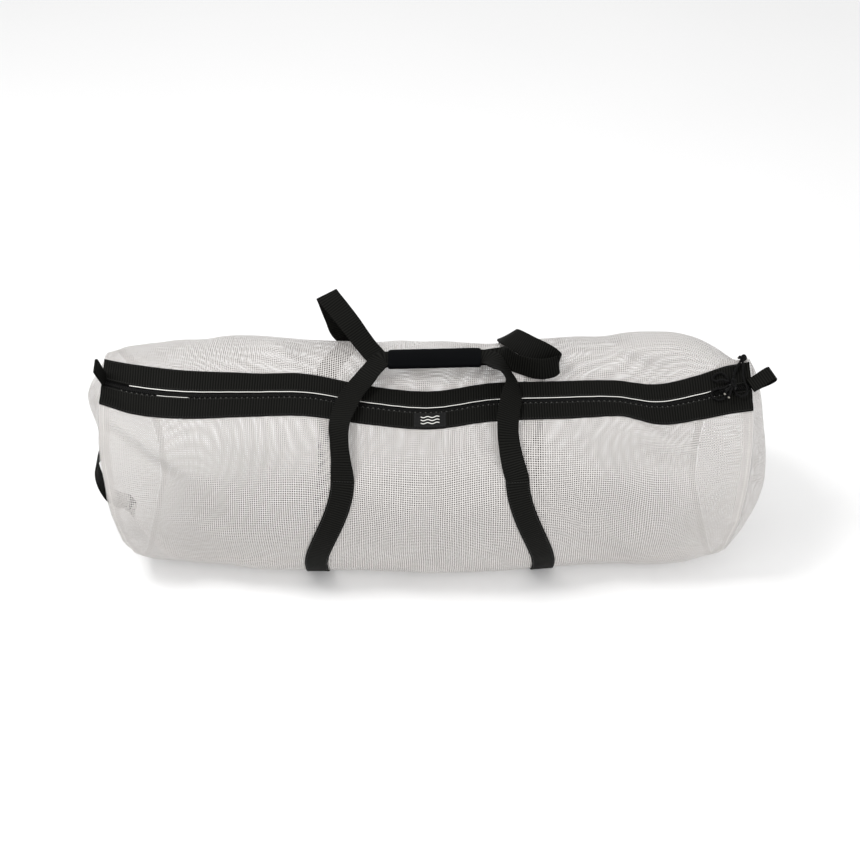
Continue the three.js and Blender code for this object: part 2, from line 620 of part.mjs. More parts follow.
function endHandle() {
  const frames = GRAB_LINE.map((row) => ({ middle: vec(row), across: new THREE.Vector3(row.lean, -1, 0) }));
  return strap(frames, WEBBING_WIDTH, WEBBING_WALL);
}

// Webbing folded into a loop: out along one side, round the end and back along the other
function zipTab(tab) {
  const along = new THREE.Vector3(tab.tx, tab.ty, tab.tz).normalize();
  const raw = widthOf(tab);
  const across = raw.addScaledVector(along, -raw.dot(along)).normalize();
  const face = across.clone().cross(along);
  const root = offCloth(tab.x, tab.girth, tab.off);
  const place = (row, side) => {
    const far = row.run * (TAB_LENGTH - tab.loop) + row.end * tab.loop;
    const off = TAB_NECK + row.off * (tab.loop - TAB_NECK);
    return towards(towards(root, along, far), face, side * off);
  };
  const out = TAB_SIDE.map((row) => place(row, 1));
  const home = TAB_SIDE.map((row) => place(row, -1)).reverse();
  const middles = [...out, towards(root, along, TAB_LENGTH), ...home];
  return strap(middles.map((middle) => ({ middle, across })), TAB_WIDTH, TAB_WALL);
}

// Slider seen from the side: a base plate and a bridge with an eye, as wide as the chain
function zipSlider() {
  const half = SLIDER_LENGTH / 2;
  const eyeTop = SLIDER_BASE + BRIDGE_EYE_HEIGHT;
  const outline = new THREE.Shape();
  outline.moveTo(-half, 0);
  outline.lineTo(half, 0);
  outline.lineTo(half, SLIDER_BASE);
  outline.lineTo(BRIDGE_HALF, SLIDER_BASE);
  outline.lineTo(BRIDGE_HALF, eyeTop);
  outline.lineTo(BRIDGE_EYE_HALF, eyeTop + BRIDGE_WALL);
  outline.lineTo(-BRIDGE_EYE_HALF, eyeTop + BRIDGE_WALL);
  outline.lineTo(-BRIDGE_HALF, eyeTop);
  outline.lineTo(-BRIDGE_HALF, SLIDER_BASE);
  outline.lineTo(-half, SLIDER_BASE);
  outline.closePath();
  const eye = new THREE.Path();
  eye.moveTo(-BRIDGE_EYE_HALF, SLIDER_BASE + FIT_GAP);
  eye.lineTo(-BRIDGE_EYE_HALF, eyeTop);
  eye.lineTo(BRIDGE_EYE_HALF, eyeTop);
  eye.lineTo(BRIDGE_EYE_HALF, SLIDER_BASE + FIT_GAP);
  eye.closePath();
  outline.holes.push(eye);
  const geometry = new THREE.ExtrudeGeometry(outline, { depth: SLIDER_WIDTH, bevelEnabled: false });
  geometry.translate(0, 0, -SLIDER_WIDTH / 2);
  return geometry;
}

// Round cord along a smooth line
function pullCord(points) {
  const round = new THREE.Shape();
  for (let k = 0; k < CORD_SIDES; k += 1) {
    const turn = (2 * Math.PI * k) / CORD_SIDES;
    const corner = [(CORD_DIAMETER / 2) * Math.cos(turn), (CORD_DIAMETER / 2) * Math.sin(turn)];
    if (k === 0) {
      round.moveTo(...corner);
    } else {
      round.lineTo(...corner);
    }
  }
  round.closePath();
  const extrudePath = new THREE.CatmullRomCurve3(points);
  return new THREE.ExtrudeGeometry(round, { steps: CORD_STEPS, extrudePath, bevelEnabled: false });
}

const group = new THREE.Group();
function add(name, geometry, finish) {
  const mesh = new THREE.Mesh(geometry, new THREE.MeshStandardMaterial(finish));
  mesh.name = name;
  group.add(mesh);
  return mesh;
}

const meetingOutside = MESH_MEETING + FIT_GAP / 2;
const meetingInside = MESH_MEETING - FIT_GAP / 2;
add('mesh_left', meshLength(LEFT_END, -meetingOutside), WHITE_MESH);
add('mesh_middle', meshLength(-meetingInside, meetingInside), WHITE_MESH);
add('mesh_right', meshLength(meetingOutside, RIGHT_END), WHITE_MESH);
add('end_panel_left', endPanel(PANEL_LEFT, LEFT_END), WHITE_MESH);
add('end_panel_right', endPanel(PANEL_RIGHT, RIGHT_END), WHITE_MESH);
add('zip_webbing_front', zipStrip([ZIP_SLOT / 2, STRIP_MIDDLE, ZIP_HALF]), BLACK_WEBBING);
add('zip_webbing_back', zipStrip([-ZIP_HALF, -STRIP_MIDDLE, -ZIP_SLOT / 2]), BLACK_WEBBING);
add('zip_tape_front', zipTape([CHAIN_WIDTH / 2 + FIT_GAP, MESH_EDGE_FRONT, STRIP_MIDDLE]), BLACK_TAPE);
add('zip_tape_back', zipTape([-STRIP_MIDDLE, -MESH_EDGE_BACK]), BLACK_TAPE);
add('zip_chain', zipChain(), BLACK_COIL);
add('handle_front', carryStrap(-1, LEG_TOP_GIRTH, FRONT_RISE, FRONT_FALL, STRAP_STACK), BLACK_WEBBING);
add('handle_back', carryStrap(1, BACK_LEG_TOP_GIRTH, BACK_RISE, BACK_FALL, -STRAP_STACK), BLACK_WEBBING);
add('handle_wrap', handleWrap(), DARK_GRIP);
add('end_handle_left', endHandle(), BLACK_WEBBING);
add('zip_tab_left', zipTab(TAB_LEFT), BLACK_WEBBING);
add('zip_tab_right', zipTab(TAB_RIGHT), BLACK_WEBBING);
add('label_patch', labelPatch(), BLACK_TAPE);

const sliderUp = outwardAt(SLIDER_X, 0);
const sliderReach = SLIDER_LENGTH / 2;
const sliderAlong = clothAt(SLIDER_X + sliderReach, 0).sub(clothAt(SLIDER_X - sliderReach, 0));
sliderAlong.addScaledVector(sliderUp, -sliderAlong.dot(sliderUp)).normalize();
const sliderAcross = sliderAlong.clone().cross(sliderUp);
const sliderSeat = offCloth(SLIDER_X, 0, CHAIN_RISE + FIT_GAP);
const slider = add('zip_slider', zipSlider(), BLACK_METAL);
slider.position.copy(sliderSeat);
slider.quaternion.setFromRotationMatrix(
  new THREE.Matrix4().makeBasis(sliderAlong, sliderUp, sliderAcross),
);

// Each pull has two strands from the middle of the slider's eye to one knot
for (const pull of PULLS) {
  const knot = new THREE.Vector3(...pull.knot);
  const eyeMiddle = SLIDER_BASE + FIT_GAP + BRIDGE_EYE_HEIGHT / 2 - FIT_GAP / 2;
  const eye = towards(towards(sliderSeat, sliderUp, eyeMiddle), sliderAlong, pull.side);
  for (const [name, outward] of [['back', -1], ['front', 1]]) {
    const route = pull[name].map((point) => new THREE.Vector3(...point));
    const last = route[route.length - 1];
    const reach = last.distanceTo(knot) - KNOT_RADIUS - FIT_GAP;
    const points = [
      towards(eye, sliderAcross, (outward * FIT_GAP) / 2),
      towards(eye, sliderAcross, outward * EYE_LEAD),
      ...route,
      towards(last, knot.clone().sub(last).normalize(), reach),
    ];
    add(`pull_cord_${pull.name}_${name}`, pullCord(points), BLACK_CORD);
  }
  const ball = add(
    `pull_knot_${pull.name}`, new THREE.SphereGeometry(KNOT_RADIUS, KNOT_SIDES, KNOT_BANDS), BLACK_CORD,
  );
  ball.position.copy(knot);
}

export default group;
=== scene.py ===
import math

import bpy
import numpy as np
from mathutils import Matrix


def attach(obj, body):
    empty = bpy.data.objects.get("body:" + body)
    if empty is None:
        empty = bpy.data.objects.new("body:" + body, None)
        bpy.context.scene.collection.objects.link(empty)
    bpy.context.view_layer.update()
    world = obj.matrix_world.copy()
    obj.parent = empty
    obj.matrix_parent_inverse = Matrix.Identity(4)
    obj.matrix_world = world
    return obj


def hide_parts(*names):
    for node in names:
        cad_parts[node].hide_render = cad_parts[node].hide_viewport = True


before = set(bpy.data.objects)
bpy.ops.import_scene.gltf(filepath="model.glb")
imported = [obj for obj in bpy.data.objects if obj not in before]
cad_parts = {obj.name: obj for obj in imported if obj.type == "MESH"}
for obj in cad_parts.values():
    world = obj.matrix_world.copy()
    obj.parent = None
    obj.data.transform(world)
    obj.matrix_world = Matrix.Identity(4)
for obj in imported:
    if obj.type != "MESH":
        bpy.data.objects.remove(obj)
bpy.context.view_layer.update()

# A long duffel bag of white see-through mesh with black webbing, lying on its side.
# Shapes are worked out in millimetres, and each mesh is stored in metres.
MM = 0.001

# Cloth, webbing and zip
WEBBING_WALL = 2.0
WEBBING_WIDTH = 38.0
FIT_GAP = 0.3
SEWN_GAP = 0.8
ZIP_SLOT = 12.0
ZIP_HALF = ZIP_SLOT / 2 + WEBBING_WIDTH
STRIP_MIDDLE = ZIP_SLOT / 2 + WEBBING_WIDTH / 2
MESH_EDGE = 7.0
CHAIN_RISE = 1.0

# Sections across the bag: place, zip's middle and slope in degrees, bulge of front and back,
# height and slope of the crown behind the zip, lift of the underside
SECTIONS = np.array([
    # x, zip y, zip z, slope, front y, back y, crown z, rise, lift
    (-535, 2, 320, 20, -154, 172, 333, 18, 22),
    (-480, -18, 320, 28, -157, 192, 336, 10, 12),
    (-400, -26, 316, 24, -156, 204, 334, 4, 4),
    (-300, -22, 312, 16, -168, 208, 337, 0, 0),
    (-200, -18, 308, 12, -176, 208, 328, 0, 0),
    (-100, -34, 300, 6, -176, 206, 325, 0, 0),
    (0, -40, 294, 5, -181, 205, 328, 0, 0),
    (100, -24, 298, 6, -180, 206, 321, 0, 0),
    (200, -26, 304, 5, -167, 208, 332, 0, 0),
    (300, -27, 307, 5, -157, 206, 338, 0, 0),
    (370, -37, 304, 10, -159, 204, 353, 0, 2),
    (440, -27, 312, 16, -160, 196, 347, 4, 8),
    (485, -16, 318, 24, -152, 184, 331, 16, 14),
    (522, -12, 322, 26, -152, 165, 310, 28, 22),
], float)
LEFT_END = SECTIONS[0, 0]
RIGHT_END = SECTIONS[-1, 0]
FRONT_HEIGHT, BACK_HEIGHT = 0.46, 0.48
FOOT_FRONT, FOOT_BACK = 0.46, 0.5
CROWN_BACK, CROWN_EASE, ROUND = 0.34, 0.4, 0.5523
LIFT_HEIGHT, GROOVE_HEIGHT, FOLD_FLOOR = 150.0, 40.0, 40.0
END_INSET, END_INSET_HEIGHT, END_INSET_POWER, END_INSET_REACH = 55.0, 320.0, 1.3, 6

# Folds: middle along the bag and round it from the zip, turn in degrees, half length, half width, height
FOLDS = np.array([
    (-455, 86, 28, 85, 20, 9), (-430, 150, 35, 70, 26, -9), (-462, 268, 60, 48, 16, 8),
    (-330, 330, 4, 110, 16, 5), (365, 70, 18, 75, 17, 10), (350, 112, 14, 85, 24, -9),
    (-240, -84, 48, 48, 17, 8), (-300, -78, 40, 40, 20, -6), (340, -76, 14, 80, 18, -8),
    (250, 210, 80, 80, 30, -6), (-20, 200, 5, 120, 45, 5), (440, 240, 55, 70, 26, -9),
    (-60, -260, 8, 170, 40, -8), (300, -330, 30, 110, 34, 8), (-360, -300, -25, 100, 34, -9),
], float)

# Sharp creases on those folds, in the same columns
CREASES = np.array([
    (-452, 96, 30, 62, 9, 4.5), (-436, 128, 32, 58, 10, -3.5), (-478, 226, 64, 62, 9, 4.5),
    (-452, 300, 40, 40, 8, 3.5), (-300, 352, 3, 60, 8, 3), (392, 82, 22, 66, 9, 4.5),
    (372, 108, 20, 60, 10, -3.5), (452, 262, 58, 48, 9, 4), (-262, -96, 46, 40, 9, 3.5),
    (322, -92, 18, 52, 9, -3.5), (-70, 366, 2, 70, 9, 3),
], float)

# Slack of the loose cloth: wave length along the bag and round it, phase, height
SLACK = np.array([
    (210, 160, 0.4, 0.9), (-135, 120, 2.1, 0.7), (95, 210, 4.0, 0.55),
    (-320, 85, 1.1, 0.8), (62, -150, 5.2, 0.35), (150, -64, 3.3, 0.45),
], float)

# Ripples beside a sewn edge: height, distance from it, reach, wave length over 2 pi, and the sway and wave
# length of a slower ripple that makes it uneven. On a panel, distances are shares of its radius.
PUCKERS = dict(height=1.1, off=16, reach=12, wave=5.2, sway=1.7, slow=61)
GATHERS = dict(height=1.5, off=20, reach=18, wave=5.6, sway=1.9, slow=47)
PANEL_GATHERS = dict(height=2.2, off=0.86, reach=0.1, wave=11, sway=1.4, slow=83)
SLACK_START = 40.0

# Carry straps
LEG_TOP_X, LEG_FOOT_X = 139.0, 188.0
LEG_TOP_GIRTH, LEG_FOOT_GIRTH, BACK_LEG_TOP_GIRTH = 142.0, 330.0, 205.0
STRAP_MEETING_Y, STRAP_HOLD = 8.0, 60.0
GROOVE = WEBBING_WALL + SEWN_GAP + FIT_GAP
GROOVE_FLAT, GROOVE_SIDE = 21.0, 40.0
GIRTH_SPANS, LEG_SHARE = 32, 0.62
GRIP_WIDTH, GRIP_HEIGHT, GRIP_SQUARENESS, STRAP_STACK = 45.0, 15.0, 3.0, 1.8
GRIP_DRAWN, GRIP_EDGE = 0.86, 6.0
GRIP_LINE = np.array([
    (-69, 45, 333.5), (-31, 46, 334), (7, 47, 334), (46, 49, 334), (84, 50, 334),
], float)
# Free stretches of the straps: middle, then the way the width points
FRONT_RISE = np.array([
    (-141, -138, 268, 0.88, -0.38, 0.28), (-144, -118, 293, 0.8, -0.48, 0.36),
    (-144, -90, 309, 0.86, -0.44, 0.24), (-136, -55, 315, 0.92, -0.4, 0.02),
    (-125, -21, 317, 0.85, -0.53, 0), (-107, 9, 322, 0.74, -0.67, -0.06),
    (-92, 25, 333, 0.5, -0.84, -0.06), (-79, 43, 335.5, 0.05, -1, 0),
])
FRONT_FALL = np.array([
    (98, 44, 337, 0, -1, 0.05), (110, 23.5, 339.5, -0.6, -0.75, 0.25), (124, 8.5, 336.5, -0.5, -0.65, 0.57),
    (133.5, -8, 329.5, -0.45, -0.72, 0.52), (133, -31, 322, -0.78, -0.48, 0.4),
    (127, -61, 316, -0.86, -0.42, 0.3), (124, -88, 310, -0.88, -0.38, 0.28),
    (125, -116, 294, -0.92, -0.3, 0.25), (131, -137, 268, -0.97, -0.16, 0.16),
])
BACK_RISE = np.array([
    (-153, 158, 310, -0.99, -0.1, -0.05), (-159, 153, 338, -0.96, -0.25, -0.1),
    (-166, 149, 366, -0.92, -0.34, -0.15), (-171, 145, 388, -0.88, -0.42, -0.2),
    (-172, 138, 399, -0.86, -0.45, -0.22), (-164, 128, 394, -0.84, -0.5, -0.2),
    (-150, 116, 382, -0.8, -0.56, -0.18), (-132, 98, 367, -0.74, -0.64, -0.17),
    (-113, 82, 346, -0.6, -0.76, -0.2), (-98, 69, 333, -0.4, -0.88, -0.2),
    (-85, 54, 329, -0.1, -0.99, -0.04), (-77, 48, 331, -0.02, -1, 0),
])
BACK_FALL = np.array([
    (97, 55, 330, 0, -0.99, -0.12), (112, 57, 330, 0, -0.95, -0.3), (127, 47, 334, 0, -0.35, -0.94),
    (142, 35, 333, 0, -0.05, -1), (178, 21, 332, 0, -0.15, -0.98), (203, 23, 335, 0, -0.15, -0.99),
    (211, 30.5, 337, -0.03, -0.15, -0.98), (204, 38.5, 339, -0.1, -0.2, -0.97),
    (189, 48, 342, -0.3, -0.33, -0.88), (165, 67, 342, -0.5, -0.48, -0.72),
    (143, 91, 340, -0.68, -0.5, -0.53), (133, 106, 335.5, -0.78, -0.42, -0.45),
    (130, 122, 326, -0.86, -0.28, -0.4), (134, 142, 309, -0.94, -0.05, -0.3),
])

# End panels: the middle they bulge to, then a lump's place, height and reach
PANEL_LEFT = dict(middle=(-540, 12, 165), lump=(22, 286), out=36, reach=55)
PANEL_RIGHT = dict(middle=(562, 8, 172), lump=(-70, 110), out=6, reach=60)
MESH_WALL = 1.2
# Sag of a panel: height, then wave length over 2 pi and phase across it and up it
PANEL_SAG, SAG_ACROSS, SAG_UP = 2.5, (31, 0.7), (47, 1.1)
# End handle: its line, and how far its width leans along the bag
GRAB_LINE = np.array([
    (-510.5, -20, 55, 0), (-521.2, -20, 75, 0), (-537, -20, 80.5, 0), (-549, -20, 91, 0),
    (-557, -20, 108, 0), (-562, -20, 128, 0), (-563.5, -20, 148, 0.02), (-561, -20, 166, 0.05),
    (-555, -20, 180, 0.08), (-548, -20, 190.5, 0.1), (-543.9, -20, 200, 0.11), (-545.3, -20, 211, 0.13),
], float)

# Zip tabs: place on the zip, then the way they point and the way their width points
TAB_WIDTH, TAB_WALL, TAB_LENGTH, TAB_NECK = 25.0, 1.6, 42.0, 1.3
# One side of a loop: shares of its straight run and of its round end, and of its half width beyond its neck
TAB_SIDE = np.array([(0, 0, 0), (0.4, 0, 0.12), (0.7, 0, 0.75), (1, 0, 1), (1, 0.7, 0.7)])
TAB_LEFT = dict(x=-531, girth=-4, off=3.3, loop=1.9, along=(-0.16, -0.32, 0.92), across=(0, 0.94, 0.34))
TAB_RIGHT = dict(x=519, girth=2, off=5.4, loop=6.2, along=(0.88, 0.31, 0.37), across=(0.38, -0.87, -0.31))

# Slider and pull cords
SLIDER_X, SLIDER_LENGTH, SLIDER_WIDTH, SLIDER_BASE, SLIDER_POWER = 488.0, 18.0, 8.0, 3.0, 0.45
BRIDGE_EYE_HEIGHT, BRIDGE_HALF = 5.2, 5.7
CORD_DIAMETER, KNOT_RADIUS, KNOT_LINE_REACH, EYE_LEAD = 4.0, 7.0, 2.9, 7.0
PULLS = [
    dict(name="upper", side=2.4, knot=(510.5, 28.5, 349),
         back=[(492, -4, 331.5), (495.5, 6, 336.5), (501, 16, 342.5)],
         front=[(495, -31, 320.5), (503, -34.5, 319.5), (511, -30.5, 322.5), (512.5, -22, 327),
                (509.5, -12, 331.5), (508, -2, 336), (509, 10, 341)],
         tails=[(517, 33, 345.5), (505, 33.5, 345.5)]),
    dict(name="lower", side=-2.4, knot=(489.6, -21.6, 336.5),
         back=[(484.5, -4, 329.5), (477, 7.5, 333.5), (467, 8, 332.5), (459, 0, 329), (463, -8.5, 329.5),
               (473, -9, 333)],
         front=[(478, -33, 318.5), (468, -38.5, 315.5), (458, -35, 316), (455, -25.5, 319),
                (462, -20.5, 322.5), (474, -24, 328)],
         tails=[(475, -35, 325), (481, -40, 322)]),
]

# The camera stands where the photograph's did: 40 degrees up, level, 2.6 m away
CAMERA_TARGET = (0.0, 0.033, 0.192)
CAMERA_RISE = math.radians(40)
CAMERA_DISTANCE = 2.6
camera = bpy.data.objects.new("camera", bpy.data.cameras.new("camera"))
camera.data.lens = 64.0
camera.data.sensor_width = 36.0
camera_way = np.array([0, -math.cos(CAMERA_RISE), math.sin(CAMERA_RISE)])
camera.location = CAMERA_TARGET + CAMERA_DISTANCE * camera_way
camera.rotation_euler = (math.pi / 2 - CAMERA_RISE, 0, 0)
bpy.context.scene.collection.objects.link(camera)
bpy.context.scene.camera = camera


def unit(v):
    """Vectors divided by their length."""
    return v / np.linalg.norm(v, axis=-1, keepdims=True)


def squared(v, along):
    """The part of v that is square to a direction, at length 1."""
    return unit(v - (v * along).sum(-1, keepdims=True) * along)


def full_turn(steps):
    """Equal steps of a full turn in radians."""
    return np.linspace(0, 2 * np.pi, steps, endpoint=False)


def rounded(v, power):
    """A sine or cosine drawn out towards the corners of a square."""
    return np.sign(v) * np.abs(v) ** power


def alike(x, girth):
    """Places along the bag and round it, as arrays of one shape."""
    return np.broadcast_arrays(np.asarray(x, float), np.asarray(girth, float))


def ease(t):
    """Cubic step from 0 to 1 that is level at both ends."""
    t = np.clip(t, 0, 1)
    return t * t * (3 - 2 * t)


def sections_at(x):
    """Columns of the section table at places x: a cubic between two rows, whose slope at a row is that of the
    straight line between the rows on either side of it."""
    knots = SECTIONS[:, 0]
    last = len(SECTIONS) - 1
    x = np.clip(x, LEFT_END, RIGHT_END)
    i = np.clip(np.searchsorted(knots, x, side="right") - 1, 0, last - 1)
    a, b = SECTIONS[i], SECTIONS[i + 1]
    before, after = SECTIONS[np.maximum(i - 1, 0)], SECTIONS[np.minimum(i + 2, last)]
    span = b[:, :1] - a[:, :1]
    t = (x[:, None] - a[:, :1]) / span
    start = (b - before) / (b[:, :1] - before[:, :1])
    end = (after - a) / (after[:, :1] - a[:, :1])
    return ((2 * t**3 - 3 * t**2 + 1) * a + (t**3 - 2 * t**2 + t) * span * start
            + (3 * t**2 - 2 * t**3) * b + (t**3 - t**2) * span * end)


def outlines_at(x, steps=28):
    """Outline of each section: from the zip's middle down the front, under the flat foot, up the back and
    over the crown. Straight at the zip and the foot, and a round quarter between two tangents elsewhere.
    Gives the distance round the outline, its two coordinates and the lift of the underside."""
    _, zip_y, zip_z, slope, front_y, back_y, crown_z, rise, lift = sections_at(x).T
    slope, rise = np.radians(slope), np.radians(rise)
    at = lambda y, z: np.stack([y + 0 * zip_y, z + 0 * zip_y], -1)
    down = at(-np.cos(slope), -np.sin(slope))
    over = at(-np.cos(rise), np.sin(rise))
    zip_line = at(zip_y, zip_z)
    zip_front, zip_back = zip_line + ZIP_HALF * down, zip_line - ZIP_HALF * down
    front, back = at(front_y, FRONT_HEIGHT * zip_z), at(back_y, BACK_HEIGHT * zip_z)
    foot_front, foot_back = at(FOOT_FRONT * front_y, 0), at(FOOT_BACK * back_y, 0)
    crown = at(CROWN_BACK * back_y, crown_z)
    shoulder = ((zip_front[:, 0] - front_y) / np.cos(slope))[:, None]
    reach = ((back_y - crown[:, 0]) / np.cos(rise))[:, None]
    crown_ease = CROWN_EASE * np.linalg.norm(crown - zip_back, axis=1)[:, None]
    t = np.linspace(0, 1, steps)[None, :, None]

    def curve(*ends):
        """Cubic that leaves its first point towards the second and comes to the last from the third."""
        a, b, c, d = (p[:, None, :] for p in ends)
        return (1 - t) ** 3 * a + 3 * (1 - t) ** 2 * t * b + 3 * (1 - t) * t**2 * c + t**3 * d

    def quarter(a, corner, b):
        """Round quarter from a to b, drawn towards the corner where their tangents meet."""
        return curve(a, a + ROUND * (corner - a), b + ROUND * (corner - b), b)

    def straight(a, b):
        """Equal steps from a to b."""
        return a[:, None, :] + t * (b - a)[:, None, :]

    stretches = [
        straight(zip_line, zip_front),
        quarter(zip_front, zip_front + shoulder * down, front),
        quarter(front, at(front_y, 0), foot_front),
        straight(foot_front, foot_back),
        quarter(foot_back, at(back_y, 0), back),
        quarter(back, crown - reach * over, crown),
        curve(crown, crown + crown_ease * over, zip_back - crown_ease * down, zip_back),
        straight(zip_back, zip_line),
    ]
    points = np.concatenate([stretches[0]] + [s[:, 1:] for s in stretches[1:]], axis=1)
    steps_round = np.linalg.norm(np.diff(points, axis=1), axis=2)
    round_way = np.concatenate([np.zeros((len(points), 1)), np.cumsum(steps_round, axis=1)], axis=1)
    return round_way, points[..., 0], points[..., 1], np.maximum(lift, 0)


def girth_of(x):
    """Length of the outline at places x."""
    return outlines_at(np.atleast_1d(np.asarray(x, float)))[0][:, -1]


def ripples(place, edge, kind):
    """Ripples beside an edge: a sine along it, swayed by a slower sine, under a bell curve across it."""
    swayed = place / kind["wave"] + kind["sway"] * np.sin(place / kind["slow"])
    return kind["height"] * np.exp(-((edge - kind["off"]) / kind["reach"]) ** 2) * np.sin(swayed)


def relief(x, girth):
    """Height of the cloth's folds and creases: each is a long bell curve, turned on the cloth. To them are
    added slack waves, puckers along the sewn zip strips and gathers at the end seams. The sewn straps hold
    all of it flat."""
    height = np.zeros(x.shape)
    for at_x, at_girth, turn, length, width, top in [*FOLDS, *CREASES]:
        dx, dg, turn = x - at_x, girth - at_girth, np.radians(turn)
        along = (dx * np.cos(turn) + dg * np.sin(turn)) / length
        across = (dg * np.cos(turn) - dx * np.sin(turn)) / width
        height += top * np.exp(-along**2 - across**2)
    wave = 2 * np.pi * (x[..., None] / SLACK[:, 0] + girth[..., None] / SLACK[:, 1]) + SLACK[:, 2]
    off_zip = np.abs(girth) - ZIP_HALF
    height += (SLACK[:, 3] * np.sin(wave)).sum(-1) * ease(off_zip / SLACK_START)
    height += ripples(x, np.maximum(off_zip, 0), PUCKERS)
    height += ripples(girth, np.minimum(x - LEFT_END, RIGHT_END - x), GATHERS)
    from_strap = (np.abs(x) - (LEG_TOP_X + LEG_FOOT_X) / 2) / STRAP_HOLD
    return height * (1 - np.exp(-from_strap**4))


# Outlines are laid end to end to be searched as one line, each this far from the last: more than any girth
OUTLINE_GAP = 4000.0


def cloth(x, girth):
    """Points on the outside of the cloth. The outline at x is followed for the girth, the relief moves the
    point along the outline's normal, the underside is lifted, and the ends are pulled in below."""
    x, girth = alike(x, girth)
    stations, row = np.unique(x, return_inverse=True)
    row = row.reshape(x.shape)
    way, y, z, lift = outlines_at(stations)
    size = way[row, -1]
    apart = OUTLINE_GAP * np.arange(len(stations))
    line = (way + apart[:, None]).ravel()
    place = np.mod(girth, size)
    find = lambda shift, values: np.interp(
        np.clip(place + shift, 0, size) + apart[row], line, values.ravel())
    y0, z0 = find(0, y), find(0, z)
    tangent = unit(np.stack([find(1, y) - find(-1, y), find(1, z) - find(-1, z)], -1))
    signed = np.where(place > size / 2, place - size, place)
    height = relief(x, signed) * np.clip(z0 / FOLD_FLOOR, 0, 1)
    off_strap = np.abs(np.abs(x) - LEG_FOOT_X)
    groove = GROOVE * (1 - ease((off_strap - GROOVE_FLAT) / (GROOVE_SIDE - GROOVE_FLAT)))
    y1 = y0 + height * tangent[..., 1]
    z1 = z0 - height * tangent[..., 0]
    z1 = z1 + lift[row] * np.clip(1 - z0 / LIFT_HEIGHT, 0, 1) + groove * np.clip(1 - z0 / GROOVE_HEIGHT, 0, 1)
    pull = np.sign(x) * np.minimum(1, np.abs(x / LEFT_END)) ** END_INSET_REACH
    x1 = x - pull * END_INSET * np.clip(1 - z1 / END_INSET_HEIGHT, 0, 1) ** END_INSET_POWER
    return np.stack([x1, y1, z1], -1)


NORMAL_STEP = 2.0


def outward(x, girth):
    """Outward direction of the cloth: the way round crossed with the way along, over a step on each side."""
    x, girth = alike(x, girth)
    before, after = np.maximum(x - NORMAL_STEP, LEFT_END), np.minimum(x + NORMAL_STEP, RIGHT_END)
    round_way = cloth(x, girth + NORMAL_STEP) - cloth(x, girth - NORMAL_STEP)
    return unit(np.cross(round_way, cloth(after, girth) - cloth(before, girth)))


def off_cloth(x, girth, distance):
    """Points at a distance outside the cloth."""
    return cloth(x, girth) + np.asarray(distance, float)[..., None] * outward(x, girth)


def smooth_line(points, steps):
    """Smooth line through points: on each stretch, the blend of two parabolas whose spacing goes with the
    square root of the distances, so that it makes no loops. Gives steps points to a stretch."""
    p = np.concatenate([[2 * points[0] - points[1]], points, [2 * points[-1] - points[-2]]])
    gap = np.sqrt(np.maximum(np.linalg.norm(np.diff(p[:, :3], axis=0), axis=1), 1e-6))
    knot = np.concatenate([[0], np.cumsum(gap)])
    n = len(points) - 1
    a, b, c, d = (p[j:j + n, None, :] for j in range(4))
    ka, kb, kc, kd = (knot[j:j + n, None, None] for j in range(4))
    t = kb + (kc - kb) * (np.arange(steps) / steps)[None, :, None]
    mix = lambda p, q, start, stop: (stop - t) / (stop - start) * p + (t - start) / (stop - start) * q
    ab, bc, cd = mix(a, b, ka, kb), mix(b, c, kb, kc), mix(c, d, kc, kd)
    line = mix(mix(ab, bc, ka, kc), mix(bc, cd, kb, kd), kb, kc)
    return np.concatenate([line.reshape(-1, points.shape[1]), points[-1:]])


def way_along(points):
    """Distance along a line of points."""
    return np.concatenate([[0], np.cumsum(np.linalg.norm(np.diff(points, axis=0), axis=1))])


def at_places(places, way, rows):
    """Rows of values between those known along a way."""
    return np.stack([np.interp(places, way, column) for column in rows.T], -1)


def closed(grid):
    """A grid whose first column comes again as its last."""
    return np.concatenate([grid, grid[:, :1]], axis=1)


def cells(grid):
    """The four corners of each cell of a grid."""
    corners = np.stack([grid[:-1, :-1], grid[:-1, 1:], grid[1:, 1:], grid[1:, :-1]], 2)
    return corners.reshape((-1, 4) + grid.shape[2:])


def flat_profile(width, wall, spans=12, bend=5):
    """Section of a strap: a straight top, a half round edge, a straight underside and the other round edge.
    Columns are the place across the strap and the height from its middle."""
    half, r = width / 2 - wall / 2, wall / 2
    top = np.stack([np.linspace(-half, half, spans), np.full(spans, r)], -1)
    turn = np.linspace(np.pi / 2, -np.pi / 2, bend + 2)[1:-1]
    edge = np.stack([half + r * np.cos(turn), r * np.sin(turn)], -1)
    return np.concatenate([top, edge, -top, -edge])


NO_FANS = np.zeros((0, 3), int), np.zeros((0, 3, 2))


